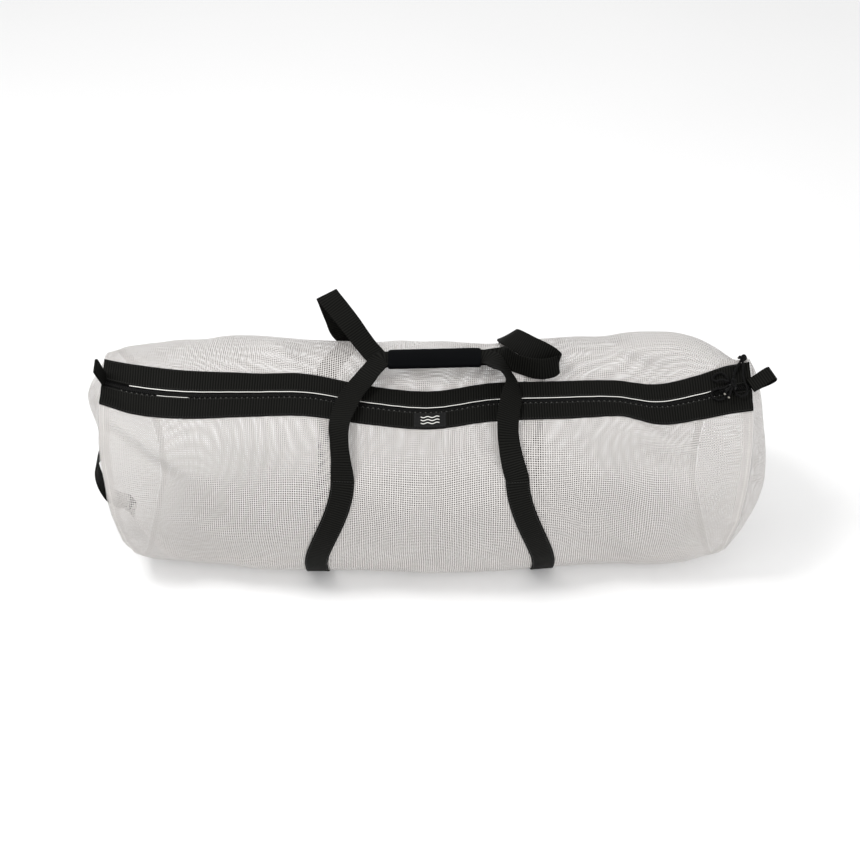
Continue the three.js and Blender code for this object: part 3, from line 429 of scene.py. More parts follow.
def shell(grid, around=False, ends=None, uv=None):
    """Faces on a grid of points: a four-cornered face for each cell. around joins the last column to the
    first. ends="flat" closes the first and last rows, ends="pole" the last row only, by fans to a middle."""
    rows, columns = grid.shape[:2]
    points = grid.reshape(-1, 3)
    index = np.arange(rows * columns).reshape(rows, columns)
    if uv is None:
        uv = np.zeros((rows, columns + around, 2))
    if around:
        index = closed(index)
    quads, quad_uv = cells(index), cells(uv)
    fans, fan_uv = ([none] for none in NO_FANS)
    for row in {None: [], "flat": [0, rows - 1], "pole": [rows - 1]}[ends]:
        ring, ring_uv = index[row], uv[row]
        if row == 0:
            ring, ring_uv = ring[::-1], ring_uv[::-1]
        middle = np.full(len(ring) - 1, len(points))
        points = np.concatenate([points, grid[row].mean(axis=0)[None]])
        fans.append(np.stack([ring[:-1], ring[1:], middle], -1))
        centre = np.repeat(ring_uv.mean(axis=0)[None], len(ring) - 1, axis=0)
        fan_uv.append(np.stack([ring_uv[:-1], ring_uv[1:], centre], 1))
    fans, fan_uv = np.concatenate(fans), np.concatenate(fan_uv)
    if around and ends == "flat":
        tris = np.concatenate([quads[:, :3], quads[:, [0, 2, 3]], fans])
        a, b, c = (points[tris[:, k]] for k in range(3))
        if np.einsum("ij,ij->", a, np.cross(b, c)) < 0:
            quads, quad_uv = quads[:, ::-1], quad_uv[:, ::-1]
            fans, fan_uv = fans[:, ::-1], fan_uv[:, ::-1]
    return points, quads, quad_uv, fans, fan_uv


def piece(name, shells, material, replaces=()):
    """One object from one or more shells, in metres, with smooth faces and a UV map in metres of cloth."""
    points, quads, quad_uv, fans, fan_uv = zip(*shells)
    starts = np.cumsum([0, *map(len, points)])
    faces = [row for kind in (quads, fans) for f, start in zip(kind, starts) for row in (f + start).tolist()]
    uv = np.concatenate([u.reshape(-1, 2) for u in quad_uv + fan_uv]) * MM
    mesh = bpy.data.meshes.new(name)
    mesh.from_pydata((np.concatenate(points) * MM).tolist(), [], faces)
    layer = mesh.uv_layers.new(name="cloth")
    layer.data.foreach_set("uv", uv.ravel())
    mesh.polygons.foreach_set("use_smooth", np.ones(len(mesh.polygons), bool))
    mesh.materials.append(material)
    made = bpy.data.objects.new(name, mesh)
    bpy.context.scene.collection.objects.link(made)
    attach(made, "root")
    if replaces:
        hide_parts(*replaces)
    return made


def plane(u, v, side, face):
    """Places u along one way and v along another, for each row of the two ways."""
    return u[:, None] * side[:, None] + v[:, None] * face[:, None]


def strap_faces(middles, across):
    """Ways of a strap's width, squared to its line, and of its face, the width crossed with the line."""
    along = unit(np.gradient(middles, axis=0))
    side = squared(across, along)
    return side, np.cross(side, along)


def laid_flat(along, across):
    """Places on flat cloth, for each pair of a place along it and one across it."""
    return np.stack(np.broadcast_arrays(along[:, None], across[None, :]), -1)


def strap_shell(middles, across, profile):
    """A profile carried along a line: its columns are laid along the width and the face."""
    side, face = strap_faces(middles, across)
    u, v = profile.T
    uv = laid_flat(way_along(middles), np.concatenate([u, u[:1]]))
    return shell(middles[:, None] + plane(u, v, side, face), around=True, ends="flat", uv=uv)


def tube_shell(points, radius, sides=10):
    """A round tube along a line of points: rings square to it, which start towards one fixed direction."""
    along = unit(np.gradient(points, axis=0))
    side = squared(np.array([0.31, 0.52, 0.79]), along)
    turn = full_turn(sides)
    ring = plane(np.cos(turn), np.sin(turn), side, np.cross(along, side))
    r = np.broadcast_to(np.asarray(radius, float), len(points))[:, None, None]
    uv = laid_flat(way_along(points), 2 * np.pi * np.max(r) * np.linspace(0, 1, sides + 1))
    return shell(points[:, None] + r * ring, around=True, ends="flat", uv=uv)


def strip_on_cloth(x, girth, width, base, wall):
    """A flat strip that follows the cloth: its profile stands on the cloth at each place along x."""
    u, v = flat_profile(width, wall).T
    grid = off_cloth(x[:, None], (girth + u)[None, :], base + wall / 2 + v)
    return shell(grid, around=True, ends="flat", uv=laid_flat(x, np.concatenate([u, u[:1]])))


def stitches(places, along, up, length, radius):
    """Stitches: at each place a short six-sided spindle of thread, from its root over its crown to its other
    root. It has four rings, at shares of the length and of the radius."""
    along = squared(along, up)
    turn = full_turn(6)
    s = np.array([-0.5, -0.3, 0.3, 0.5])
    thick = np.array([0.35, 1.0, 1.0, 0.35])
    lift = np.array([-0.9, 0.35, 0.35, -0.9]) * radius
    ring = plane(np.cos(turn), np.sin(turn), np.cross(along, up), up)[:, None]
    line = places[:, None] + plane(length * s, lift, along, up)
    grid = line[:, :, None] + ring * (radius * thick)[:, None, None]
    n, rows, columns = grid.shape[:3]
    one = cells(closed(np.arange(rows * columns).reshape(rows, columns)))[:, [0, 3, 2, 1]]
    caps = np.array([[0, 1, 2, 3], [0, 3, 4, 5]])
    one = np.concatenate([one, caps, (rows - 1) * columns + caps[:, ::-1]])
    quads = (one[None] + (np.arange(n) * rows * columns)[:, None, None]).reshape(-1, 4)
    return grid.reshape(-1, 3), quads, np.zeros((len(quads), 4, 2)), *NO_FANS


STITCH_LENGTH, STITCH_RADIUS, STITCH_PITCH, STITCH_RISE = 3.0, 0.34, 4.4, 0.1


def stitch_row(x, girth, height, length=STITCH_LENGTH, radius=STITCH_RADIUS):
    """A row of stitches on the cloth, through places given along it and round it."""
    x, girth = alike(x, girth)
    up = outward(x, girth)
    line = cloth(x, girth) + height * up
    return stitches(line, np.gradient(line, axis=0), up, length, radius)


def linear(code):
    """An sRGB colour written in hex, as linear red, green, blue and 1."""
    c = np.array([int(code[i:i + 2], 16) for i in (1, 3, 5)]) / 255
    return tuple(np.where(c <= 0.04045, c / 12.92, ((c + 0.055) / 1.055) ** 2.4)) + (1.0,)


def node(tree, kind, inputs=None, **settings):
    """Adds a shader node, sets its properties, and sets or links each input."""
    made = tree.nodes.new("ShaderNode" + kind)
    for key, value in settings.items():
        setattr(made, key, value)
    for key, value in (inputs or {}).items():
        if isinstance(value, bpy.types.NodeSocket):
            tree.links.new(value, made.inputs[key])
        else:
            made.inputs[key].default_value = value
    return made


def finish(name, dress):
    """A material whose shader inputs are given by dress(tree): a value is set and a socket is linked."""
    material = bpy.data.materials.new(name)
    material.use_nodes = True
    tree = material.node_tree
    tree.nodes.clear()
    shader = node(tree, "BsdfPrincipled", dress(tree))
    node(tree, "OutputMaterial", {"Surface": shader.outputs["BSDF"]})
    return material


# Polyester mesh coated with soft white plastic and heat-set: square holes between round threads, which let
# the far side show through and shimmer where two layers cross. The edges of the threads are painted dark, a
# painted shade where the round threads turn away. The real threads are about 2.5 mm apart, too fine to show
# here, so they are drawn 3.6 mm apart. Uneven strain pulls them out of line by up to 11 mm.
MESH_PITCH = 3.6
MESH_STRAIN = 11.0
# Half a thread's width as a share of the pitch
THREAD_HALF = 0.25


def coated_mesh(tree):
    place = node(tree, "UVMap", uv_map="cloth").outputs["UV"]
    strain = node(tree, "TexNoise", {"Vector": place, "Scale": 1000 / 140, "Detail": 1.0}).outputs["Color"]
    drawn = node(tree, "VectorMath", {
        0: strain, 1: (MESH_STRAIN * MM, MESH_STRAIN * MM, 0.0), 2: place},
        operation="MULTIPLY_ADD").outputs["Vector"]
    grid = node(tree, "TexBrick", {
        "Vector": drawn, "Scale": 1000 / MESH_PITCH, "Mortar Size": THREAD_HALF, "Mortar Smooth": 0.75,
        "Bias": 0.0, "Brick Width": 1.0, "Row Height": 1.0}, offset=0.0, squash=1.0).outputs["Fac"]
    cover = node(tree, "MapRange", {"Value": grid, "From Min": 0.05, "From Max": 0.3}).outputs["Result"]
    # crown is 0 at a thread's edge and 1 on its middle: the edges are painted #52504e, a painted shade where
    # the round threads turn away
    crown = node(tree, "MapRange", {"Value": grid, "From Min": 0.25, "From Max": 0.9}).outputs["Result"]
    cloud = node(tree, "TexNoise", {"Vector": place, "Scale": 1000 / 90, "Detail": 3.0}).outputs["Fac"]
    coat = node(tree, "Mix", {
        "Factor": cloud, "A": linear("#e0dcd9"), "B": linear("#d0ccc9")}, data_type="RGBA")
    tint = node(tree, "Mix", {
        "Factor": crown, "A": linear("#52504e"), "B": coat.outputs["Result"]}, data_type="RGBA")
    bump = node(tree, "Bump", {"Height": grid, "Strength": 0.5, "Distance": 0.6 * MM})
    return {"Base Color": tint.outputs["Result"], "Roughness": 0.45, "Alpha": cover,
            "Normal": bump.outputs["Normal"]}


# The pitch of a band wave is this over its scale, for places in metres and a pitch in millimetres
BAND = 1000 * 2 * math.pi / 20


# Nylon webbing woven flat and dyed black: crosswise ribs 1.8 mm apart, drawn 4.2 mm apart so that they show,
# with a fine lengthwise grain, drawn 2.8 mm apart. The crests of the ribs are painted lighter than the
# troughs, a painted dull sheen.
RIB_PITCH = 4.2
GRAIN_PITCH = 2.8


def ribbed_webbing(tree):
    place = node(tree, "UVMap", uv_map="cloth").outputs["UV"]
    ribs = node(tree, "TexWave", {
        "Vector": place, "Scale": BAND / RIB_PITCH, "Distortion": 0.4, "Detail": 1.0, "Detail Scale": 2.0},
        wave_type="BANDS", bands_direction="X").outputs["Fac"]
    grain = node(tree, "TexWave", {
        "Vector": place, "Scale": BAND / GRAIN_PITCH, "Distortion": 0.6},
        wave_type="BANDS", bands_direction="Y").outputs["Fac"]
    wear = node(tree, "TexNoise", {"Vector": place, "Scale": 1000 / 35, "Detail": 4.0}).outputs["Fac"]
    weave = node(tree, "Mix", {"Factor": 0.3, "A": ribs, "B": grain}, data_type="FLOAT")
    # Painted sheen: the rib crests are painted lighter than the troughs
    tint = node(tree, "Mix", {
        "Factor": ribs, "A": linear("#020201"), "B": linear("#191917")}, data_type="RGBA")
    rough = node(tree, "MapRange", {"Value": wear, "To Min": 0.55, "To Max": 0.75}).outputs["Result"]
    bump = node(tree, "Bump", {"Height": weave.outputs["Result"], "Strength": 0.6, "Distance": 0.6 * MM})
    return {"Base Color": tint.outputs["Result"], "Roughness": rough, "Specular IOR Level": 0.06,
            "Normal": bump.outputs["Normal"]}


# Woven polyester tape: a close flat weave that shows only as a fine grain.
def woven_tape(tree):
    place = node(tree, "TexCoord").outputs["Object"]
    grain = node(tree, "TexNoise", {"Vector": place, "Scale": 1000 / 1.5, "Detail": 2.0}).outputs["Fac"]
    tint = node(tree, "Mix", {
        "Factor": grain, "A": linear("#080808"), "B": linear("#121212")}, data_type="RGBA")
    bump = node(tree, "Bump", {"Height": grain, "Strength": 0.3, "Distance": 0.3 * MM})
    return {"Base Color": tint.outputs["Result"], "Roughness": 0.8, "Specular IOR Level": 0.1,
            "Normal": bump.outputs["Normal"]}


# Nylon monofilament wound into a coil: smooth and a little shiny, dusted in its hollows.
def coil_nylon(tree):
    place = node(tree, "TexCoord").outputs["Object"]
    dust = node(tree, "TexNoise", {"Vector": place, "Scale": 1000 / 6, "Detail": 3.0}).outputs["Fac"]
    tint = node(tree, "Mix", {
        "Factor": dust, "A": linear("#0b0b0b"), "B": linear("#191918")}, data_type="RGBA")
    rough = node(tree, "MapRange", {"Value": dust, "To Min": 0.3, "To Max": 0.5}).outputs["Result"]
    return {"Base Color": tint.outputs["Result"], "Roughness": rough, "Specular IOR Level": 0.25}


# Closed-cell foam sleeve with a smooth skin: dark blue-black, soft broad highlights and fine pores.
def foam_sleeve(tree):
    place = node(tree, "TexCoord").outputs["Object"]
    pores = node(tree, "TexNoise", {"Vector": place, "Scale": 1000 / 1.8, "Detail": 3.0}).outputs["Fac"]
    rub = node(tree, "TexNoise", {"Vector": place, "Scale": 1000 / 40, "Detail": 3.0}).outputs["Fac"]
    tint = node(tree, "Mix", {
        "Factor": rub, "A": linear("#040506"), "B": linear("#090a0c")}, data_type="RGBA")
    rough = node(tree, "MapRange", {"Value": rub, "To Min": 0.5, "To Max": 0.68}).outputs["Result"]
    bump = node(tree, "Bump", {"Height": pores, "Strength": 0.2, "Distance": 0.3 * MM})
    return {"Base Color": tint.outputs["Result"], "Roughness": rough, "Specular IOR Level": 0.025,
            "Normal": bump.outputs["Normal"]}


# Smooth satin-woven patch cloth: finer and flatter than the webbing, with a soft crosswise sheen, partly from
# the shader and partly painted: the crest of each row is painted lighter. Its rows are drawn 1.2 mm apart.
SATIN_PITCH = 1.2


def satin_patch(tree):
    place = node(tree, "UVMap", uv_map="cloth").outputs["UV"]
    rows = node(tree, "TexWave", {
        "Vector": place, "Scale": BAND / SATIN_PITCH, "Distortion": 0.5},
        wave_type="BANDS", bands_direction="Y").outputs["Fac"]
    # Painted sheen: the crest of each row is painted lighter
    tint = node(tree, "Mix", {
        "Factor": rows, "A": linear("#060606"), "B": linear("#0d0d0d")}, data_type="RGBA")
    bump = node(tree, "Bump", {"Height": rows, "Strength": 0.25, "Distance": 0.3 * MM})
    return {"Base Color": tint.outputs["Result"], "Roughness": 0.48, "Specular IOR Level": 0.2,
            "Normal": bump.outputs["Normal"]}


# Die-cast zinc with black lacquer: satin, with slight rub marks.
def lacquered_zinc(tree):
    place = node(tree, "TexCoord").outputs["Object"]
    rub = node(tree, "TexNoise", {"Vector": place, "Scale": 1000 / 4, "Detail": 4.0}).outputs["Fac"]
    tint = node(tree, "Mix", {
        "Factor": rub, "A": linear("#161616"), "B": linear("#2e2e2d")}, data_type="RGBA")
    rough = node(tree, "MapRange", {"Value": rub, "To Min": 0.25, "To Max": 0.45}).outputs["Result"]
    return {"Base Color": tint.outputs["Result"], "Roughness": rough, "Metallic": 0.3}


# Braided nylon cord: two sets of strands that cross on the slant, with a soft sheen. The strands are painted
# lighter than the grooves between them, a painted shade in the grooves. The real strands are too fine to show
# here, so each set is drawn to repeat every 8 mm along the cord. A slanting band wave runs at half the rate
# of a straight one, so its scale takes half of that.
BRAID_REPEAT = 8.0


def braided_cord(tree):
    place = node(tree, "UVMap", uv_map="cloth").outputs["UV"]
    mirrored = node(tree, "Mapping", {"Vector": place, "Scale": (1, -1, 1)}).outputs["Vector"]
    left, right = (node(tree, "TexWave", {
        "Vector": way, "Scale": BAND / (BRAID_REPEAT / 2)},
        wave_type="BANDS", bands_direction="DIAGONAL").outputs["Fac"] for way in (place, mirrored))
    braid = node(tree, "Math", {0: left, 1: right}, operation="MAXIMUM").outputs[0]
    # Painted shade: the grooves between the strands are painted darker than the strands
    tint = node(tree, "Mix", {
        "Factor": braid, "A": linear("#030303"), "B": linear("#101010")}, data_type="RGBA")
    bump = node(tree, "Bump", {"Height": braid, "Strength": 0.7, "Distance": 0.5 * MM})
    return {"Base Color": tint.outputs["Result"], "Roughness": 0.6, "Specular IOR Level": 0.08,
            "Normal": bump.outputs["Normal"]}


# Bonded nylon thread in short stitches, and cut nylon melted to a bead: fine streaks between two tones.
def sewing_thread(dark, light):
    def dress(tree):
        place = node(tree, "TexCoord").outputs["Object"]
        twist = node(tree, "TexNoise", {"Vector": place, "Scale": 1000 / 1.5, "Detail": 1.0}).outputs["Fac"]
        tint = node(tree, "Mix", {
            "Factor": twist, "A": linear(dark), "B": linear(light)}, data_type="RGBA")
        return {"Base Color": tint.outputs["Result"], "Roughness": 0.5}
    return dress


# Folded white mesh hem: two layers lie on each other, so it is nearly solid, with threads as fine ribs. The
# grooves between the threads are painted darker, a painted shade.
def folded_hem(tree):
    place = node(tree, "UVMap", uv_map="cloth").outputs["UV"]
    ribs = node(tree, "TexWave", {
        "Vector": place, "Scale": BAND / MESH_PITCH, "Distortion": 0.3},
        wave_type="BANDS", bands_direction="X").outputs["Fac"]
    # Painted shade: the grooves between the threads are painted darker
    tint = node(tree, "Mix", {
        "Factor": ribs, "A": linear("#c9c8c2"), "B": linear("#f7f6f2")}, data_type="RGBA")
    bump = node(tree, "Bump", {"Height": ribs, "Strength": 0.4, "Distance": 0.5 * MM})
    return {"Base Color": tint.outputs["Result"], "Roughness": 0.5, "Normal": bump.outputs["Normal"]}


# Matt studio paper, nearly white, with clouds of tone two thirds of a metre wide.
PAPER_CLOUD = 2000 / 3


def pale_floor(tree):
    place = node(tree, "TexCoord").outputs["Object"]
    cloud = node(tree, "TexNoise", {
        "Vector": place, "Scale": 1000 / PAPER_CLOUD, "Detail": 2.0}).outputs["Fac"]
    tint = node(tree, "Mix", {
        "Factor": cloud, "A": linear("#fbfbfb"), "B": linear("#f7f7f7")}, data_type="RGBA")
    return {"Base Color": tint.outputs["Result"], "Roughness": 0.9}


MESH = finish("coated polyester mesh, woven open", coated_mesh)
WEBBING = finish("black nylon webbing, woven flat", ribbed_webbing)
TAPE = finish("black polyester tape, woven", woven_tape)
COIL = finish("black nylon coil, wound", coil_nylon)
FOAM = finish("dark foam sleeve, smooth skin", foam_sleeve)
PATCH = finish("black satin patch, woven", satin_patch)
ZINC = finish("zinc, die-cast and lacquered", lacquered_zinc)
CORD = finish("black nylon cord, braided", braided_cord)
BLACK_THREAD = finish("black bonded nylon thread", sewing_thread("#0b0b0b", "#1f1f1e"))
WHITE_THREAD = finish("white bonded nylon thread", sewing_thread("#dddcd6", "#f8f7f3"))
GREY_THREAD = finish("grey bonded nylon thread", sewing_thread("#5a5a57", "#8a8a86"))
MELTED_NYLON = finish("pale nylon, melted at a cut", sewing_thread("#6f6c66", "#98948b"))
HEM = finish("white mesh hem, folded", folded_hem)
PAPER = finish("pale studio paper", pale_floor)

STATIONS = np.linspace(LEFT_END, RIGHT_END, 301)
ROUND_LINES = 231


def mesh_lines(stations):
    """Places along and round the mesh: equal parts of the way from under one zip strip to under the other."""
    span = girth_of(stations) - 2 * MESH_EDGE
    girth = MESH_EDGE + np.linspace(0, 1, ROUND_LINES)[None, :] * span[:, None]
    return np.broadcast_to(stations[:, None], girth.shape), girth


# The cloth of the bag, from the front edge of the zip round to its back edge
tube_x, tube_girth = mesh_lines(STATIONS)
tube = shell(cloth(tube_x, tube_girth), uv=np.stack([tube_x, tube_girth], -1))
body = piece("mesh_tube", [tube], MESH, ["mesh_left", "mesh_middle", "mesh_right"])


def panel_points(panel, end, rim, share):
    """A dome: points move straight from the middle to the rim, their bulge falls with the square of the
    share, and a bell-shaped lump is added that fades at the rim."""
    middle = np.array(panel["middle"], float)
    flat = middle + share[..., None] * (rim - middle)
    lump = ((flat[..., 1:] - panel["lump"]) ** 2).sum(-1) / panel["reach"] ** 2
    out = middle[0] + share**2 * (rim[..., 0] - middle[0])
    bulge = panel["out"] * np.exp(-lump) * (1 - share**4)
    return np.stack([out + np.sign(end) * bulge, flat[..., 1], flat[..., 2]], -1)


def end_panel(panel, end):
    """Rings of the dome from the seam to the middle, with gathers that run inwards from the seam and a soft
    sag: a sine across the panel times another up it, which fades at the rim."""
    girth = np.linspace(0, girth_of(end)[0], 240, endpoint=False)
    rim = cloth(end, girth)
    share = np.linspace(1, 0.02, 44)[:, None]
    grid = panel_points(panel, end, rim[None], np.broadcast_to(share, (len(share), len(girth))))
    gathers = ripples(girth[None], share, PANEL_GATHERS)
    across, up = (np.sin(grid[..., k] / wave + phase) for k, (wave, phase) in ((1, SAG_ACROSS), (2, SAG_UP)))
    sag = PANEL_SAG * across * up * (1 - share**4)
    grid[..., 0] += np.sign(end) * (FIT_GAP + MESH_WALL / 2 + gathers + sag)
    if end < 0:
        grid = grid[:, ::-1]
    return shell(grid, around=True, ends="pole", uv=closed(grid[..., 1:]))


ENDS = (("left", PANEL_LEFT, LEFT_END), ("right", PANEL_RIGHT, RIGHT_END))
panels = [piece(f"end_panel_{name}_mesh", [end_panel(panel, end)], MESH, [f"end_panel_{name}"])
          for name, panel, end in ENDS]


def seam_allowance(end, width=17.0, under=1.4):
    """The turned-in edge of the mesh inside an end seam: a band of cloth just under the outer one, whose
    threads lie half a pitch aside from it."""
    x, girth = mesh_lines(np.sort(end - np.sign(end) * np.linspace(1, width, 7)))
    return shell(off_cloth(x, girth, -under), uv=np.stack([x, girth], -1) + MESH_PITCH / 2)


allowances = [piece(f"seam_allowance_{name}", [seam_allowance(end)], MESH)
              for name, _, end in ENDS]
SEAM_INSET = 7.0


def end_seam_thread(end):
    """A row of stitches round an end, inside the seam."""
    girth = np.arange(ZIP_HALF, girth_of(end)[0] - ZIP_HALF, 4.6)
    return stitch_row(end - np.sign(end) * SEAM_INSET, girth, 0.25, length=3.4)


piece("end_seam_thread", [end_seam_thread(LEFT_END), end_seam_thread(RIGHT_END)], WHITE_THREAD)

# The zip: two webbing strips, the folded mesh hem that shows beside them, tape and coils
for name, side in (("front", 1), ("back", -1)):
    strip = strip_on_cloth(STATIONS, side * STRIP_MIDDLE, WEBBING_WIDTH, FIT_GAP, WEBBING_WALL)
    piece(f"zip_strip_{name}", [strip], WEBBING, [f"zip_webbing_{name}"])
# The hem peeps out along the back strip as far as the slider, and once at the front
HEM_BACK, HEM_FRONT = (-488, 474), (-442, -391)
piece("mesh_hem", [
    strip_on_cloth(np.linspace(*HEM_BACK, 280), girth=-5.4, width=1.5, base=0.9, wall=0.7),
    strip_on_cloth(np.linspace(*HEM_FRONT, 15), girth=5.5, width=1.2, base=0.9, wall=0.6),
], HEM)
strip_top = FIT_GAP + WEBBING_WALL
edge_row = stitch_row(np.arange(-500, 470, 8.5), 6.6, strip_top, length=2.2, radius=0.4)
piece("front_strip_edge_thread", [edge_row], GREY_THREAD)

# Wound coil of the zip: pitch, middle and reach of a turn across the zip, its level and rise, and the wire
COIL_PITCH, COIL_OFF, COIL_REACH, COIL_LEVEL, COIL_RISE, COIL_WIRE = 3.2, 1.35, 1.7, -0.1, 0.75, 0.42


def coil(side, turn_points=9):
    """One half of the zip: a thread wound along the middle line, out to its own side and back over it."""
    x = np.arange(LEFT_END + 3, RIGHT_END - 3, COIL_PITCH / turn_points)
    turn = 2 * np.pi * x / COIL_PITCH
    girth = side * (COIL_OFF + COIL_REACH * np.cos(turn))
    return tube_shell(off_cloth(x, girth, COIL_LEVEL + COIL_RISE * np.sin(turn)), COIL_WIRE, sides=5)


piece("zip_coil", [coil(-1), coil(1)], COIL, ["zip_chain"])
piece("zip_coil_tape", [strip_on_cloth(STATIONS, girth=0.0, width=13.0, base=-3.4, wall=0.9)],
      TAPE)
for name in ("zip_tape_front", "zip_tape_back"):
    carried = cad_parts[name]
    carried.data.materials.clear()
    carried.data.materials.append(TAPE)

zip_rows = np.arange(LEFT_END + 5, RIGHT_END - 4, STITCH_PITCH)
piece("zip_strip_thread", [
    stitch_row(zip_rows, g, strip_top + STITCH_RISE) for g in (-41.5, -8.6, 8.6, 41.5)
], BLACK_THREAD)


def sewn_leg(side_x, side_y, top_girth, facing):
    """Rows of a sewn strap leg, its middle and the way its width points, from the meeting place under the
    bag up to its top, at the next of the equal spans round the cloth. Its place along the bag eases from the
    foot's to the top's as it climbs."""
    length = girth_of(side_x * LEG_FOOT_X)[0]
    span = (length - 2 * ZIP_HALF) / GIRTH_SPANS
    start = ZIP_HALF + span * math.ceil((top_girth - ZIP_HALF) / span)
    run = np.linspace(start, length * LEG_SHARE, 150)
    climbed = ease((run - top_girth) / (LEG_FOOT_GIRTH - top_girth))
    x = side_x * (LEG_TOP_X + (LEG_FOOT_X - LEG_TOP_X) * climbed)
    girth = girth_of(x) * run / length
    girth = girth if side_y < 0 else girth_of(x) - girth
    middle = off_cloth(x, girth, SEWN_GAP + WEBBING_WALL / 2)
    keep = side_y * (middle[:, 1] - STRAP_MEETING_Y) > 1.0
    half = WEBBING_WIDTH / 2
    across = unit(cloth(x + facing * half, girth) - cloth(x - facing * half, girth))
    return np.concatenate([middle, across], axis=1)[keep][::-1]


def carry_strap(side_y, top_girth, rise, fall, level):
    """A whole strap: one leg up, the free rise, the stretch in the grip, the free fall and the other leg
    down. The free part is a smooth line through its rows and the ends of the legs."""
    up = sewn_leg(-1, side_y, top_girth, np.sign(rise[0, 3]))
    down = sewn_leg(1, side_y, top_girth, np.sign(fall[-1, 3]))[::-1]
    grip = np.concatenate([GRIP_LINE + (0, 0, level), np.tile([0.0, -1.0, 0.0], (len(GRIP_LINE), 1))], axis=1)
    rows = np.array([up[-8], up[-1], *rise, *grip, *fall, down[0], down[7]])
    line = np.concatenate([up[:-1], smooth_line(rows, 8)[8:-8], down[1:]])
    return line[:, :3], line[:, 3:]


STRAPS = {
    "front": carry_strap(-1, LEG_TOP_GIRTH, FRONT_RISE, FRONT_FALL, STRAP_STACK),
    "back": carry_strap(1, BACK_LEG_TOP_GIRTH, BACK_RISE, BACK_FALL, -STRAP_STACK),
}
STRAP_PROFILE = flat_profile(WEBBING_WIDTH, WEBBING_WALL)
for name, line in STRAPS.items():
    piece(f"carry_strap_{name}", [strap_shell(*line, STRAP_PROFILE)], WEBBING,
          [f"handle_{name}"])

# Seams of the sewn legs: how far the two rows lie from the middle, half the row across, heights of their tops
LEG_ROW, LEG_ROW_ACROSS, LEG_SEAM_TOPS = 16.2, 13.0, {"front": 236.0, "back": 272.0}
LEG_SEAM_START = 6.0
BAG_MIDDLE = (0, 15, 160)


def leg_thread(line, legs):
    """Two rows of stitches along each sewn leg and one across its top."""
    middles, across = line
    side, face = strap_faces(middles, across)
    way = way_along(middles)
    rows = []
    for start, stop, top in legs:
        s = np.arange(start, stop, STITCH_PITCH)
        routes = [(s, np.full(len(s), u)) for u in (-LEG_ROW, LEG_ROW)]
        routes += [(np.full(7, top), np.linspace(-LEG_ROW_ACROSS, LEG_ROW_ACROSS, 7))]
        for place, u in routes:
            middle_at, side_at, face_at = (at_places(place, way, known) for known in (middles, side, face))
            line_at = middle_at + u[:, None] * side_at
            up = unit(face_at) * np.sign((face_at * (line_at - BAG_MIDDLE)).sum(-1, keepdims=True))
            spots = line_at + (WEBBING_WALL / 2 + STITCH_RISE) * up
            rows.append(stitches(spots, np.gradient(spots, axis=0), up, STITCH_LENGTH, STITCH_RADIUS))
    return rows


for name, line in STRAPS.items():
    way = way_along(line[0])
    first, last = way[line[0][:, 2] > LEG_SEAM_TOPS[name]][[0, -1]]
    legs = [(LEG_SEAM_START, first, first), (last, way[-1] - LEG_SEAM_START, last)]
    piece(f"carry_strap_{name}_thread", leg_thread(line, legs), BLACK_THREAD)


def grip_sleeve():
    """Sleeve round both straps: a rounded rectangle carried along the grip's line, in rows that lie closer
    near its two ends, where it is drawn in. Faint ripples run along it."""
    line = smooth_line(GRIP_LINE, 14)
    share = np.linspace(0, 1, len(line))
    closer = np.sin((share - 0.5) * np.pi) / 2 + 0.5
    line = at_places(closer, share, line)
    way = way_along(line)
    edge = np.minimum(way, way[-1] - way)
    quarter = np.sqrt(np.clip(1 - (1 - np.minimum(edge / GRIP_EDGE, 1)) ** 2, 0, 1))
    draw = GRIP_DRAWN + (1 - GRIP_DRAWN) * quarter
    turn = full_turn(72)
    power = 2 / GRIP_SQUARENESS
    ripple = 1 + 0.012 * np.sin(way / 9.0 + 1.3 * np.sin(way / 21))[:, None] * np.sin(turn)[None]
    y = (GRIP_WIDTH / 2) * rounded(np.cos(turn), power)[None] * draw[:, None] * ripple
    z = (GRIP_HEIGHT / 2) * rounded(np.sin(turn), power)[None] * draw[:, None] * ripple
    grid = np.stack([np.broadcast_to(line[:, :1], y.shape), line[:, 1:2] + y, line[:, 2:] + z], -1)
    return shell(grid, around=True, ends="flat")


grip = piece("grip_sleeve", [grip_sleeve()], FOAM, ["handle_wrap"])

# The end handle, sewn to the panel at foot and top with a free bow between
grab = smooth_line(GRAB_LINE, 6)
grab_across = np.stack([grab[:, 3], np.full(len(grab), -1.0), np.zeros(len(grab))], -1)
piece("end_grab_strap", [strap_shell(grab[:, :3], grab_across, STRAP_PROFILE)], WEBBING,
      ["end_handle_left"])


def zip_tab(tab):
    """Webbing folded into a loop: out along one side, round the end and back along the other."""
    along = unit(np.array(tab["along"], float))
    across = squared(np.array(tab["across"], float), along)
    face = np.cross(across, along)
    root = off_cloth(tab["x"], tab["girth"], tab["off"])
    loop = tab["loop"]
    half = np.stack([TAB_SIDE[:, 0] * (TAB_LENGTH - loop) + TAB_SIDE[:, 1] * loop,
                     TAB_NECK + TAB_SIDE[:, 2] * (loop - TAB_NECK)], -1)
    plan = np.concatenate([half, [(TAB_LENGTH, 0)], half[::-1] * (1, -1)])
    line = smooth_line(root + plan[:, :1] * along + plan[:, 1:] * face, 6)
    return strap_shell(line, np.tile(across, (len(line), 1)), flat_profile(TAB_WIDTH, TAB_WALL))


for name, tab in (("left", TAB_LEFT), ("right", TAB_RIGHT)):
    piece(f"zip_tab_{name}_loop", [zip_tab(tab)], WEBBING, [f"zip_tab_{name}"])

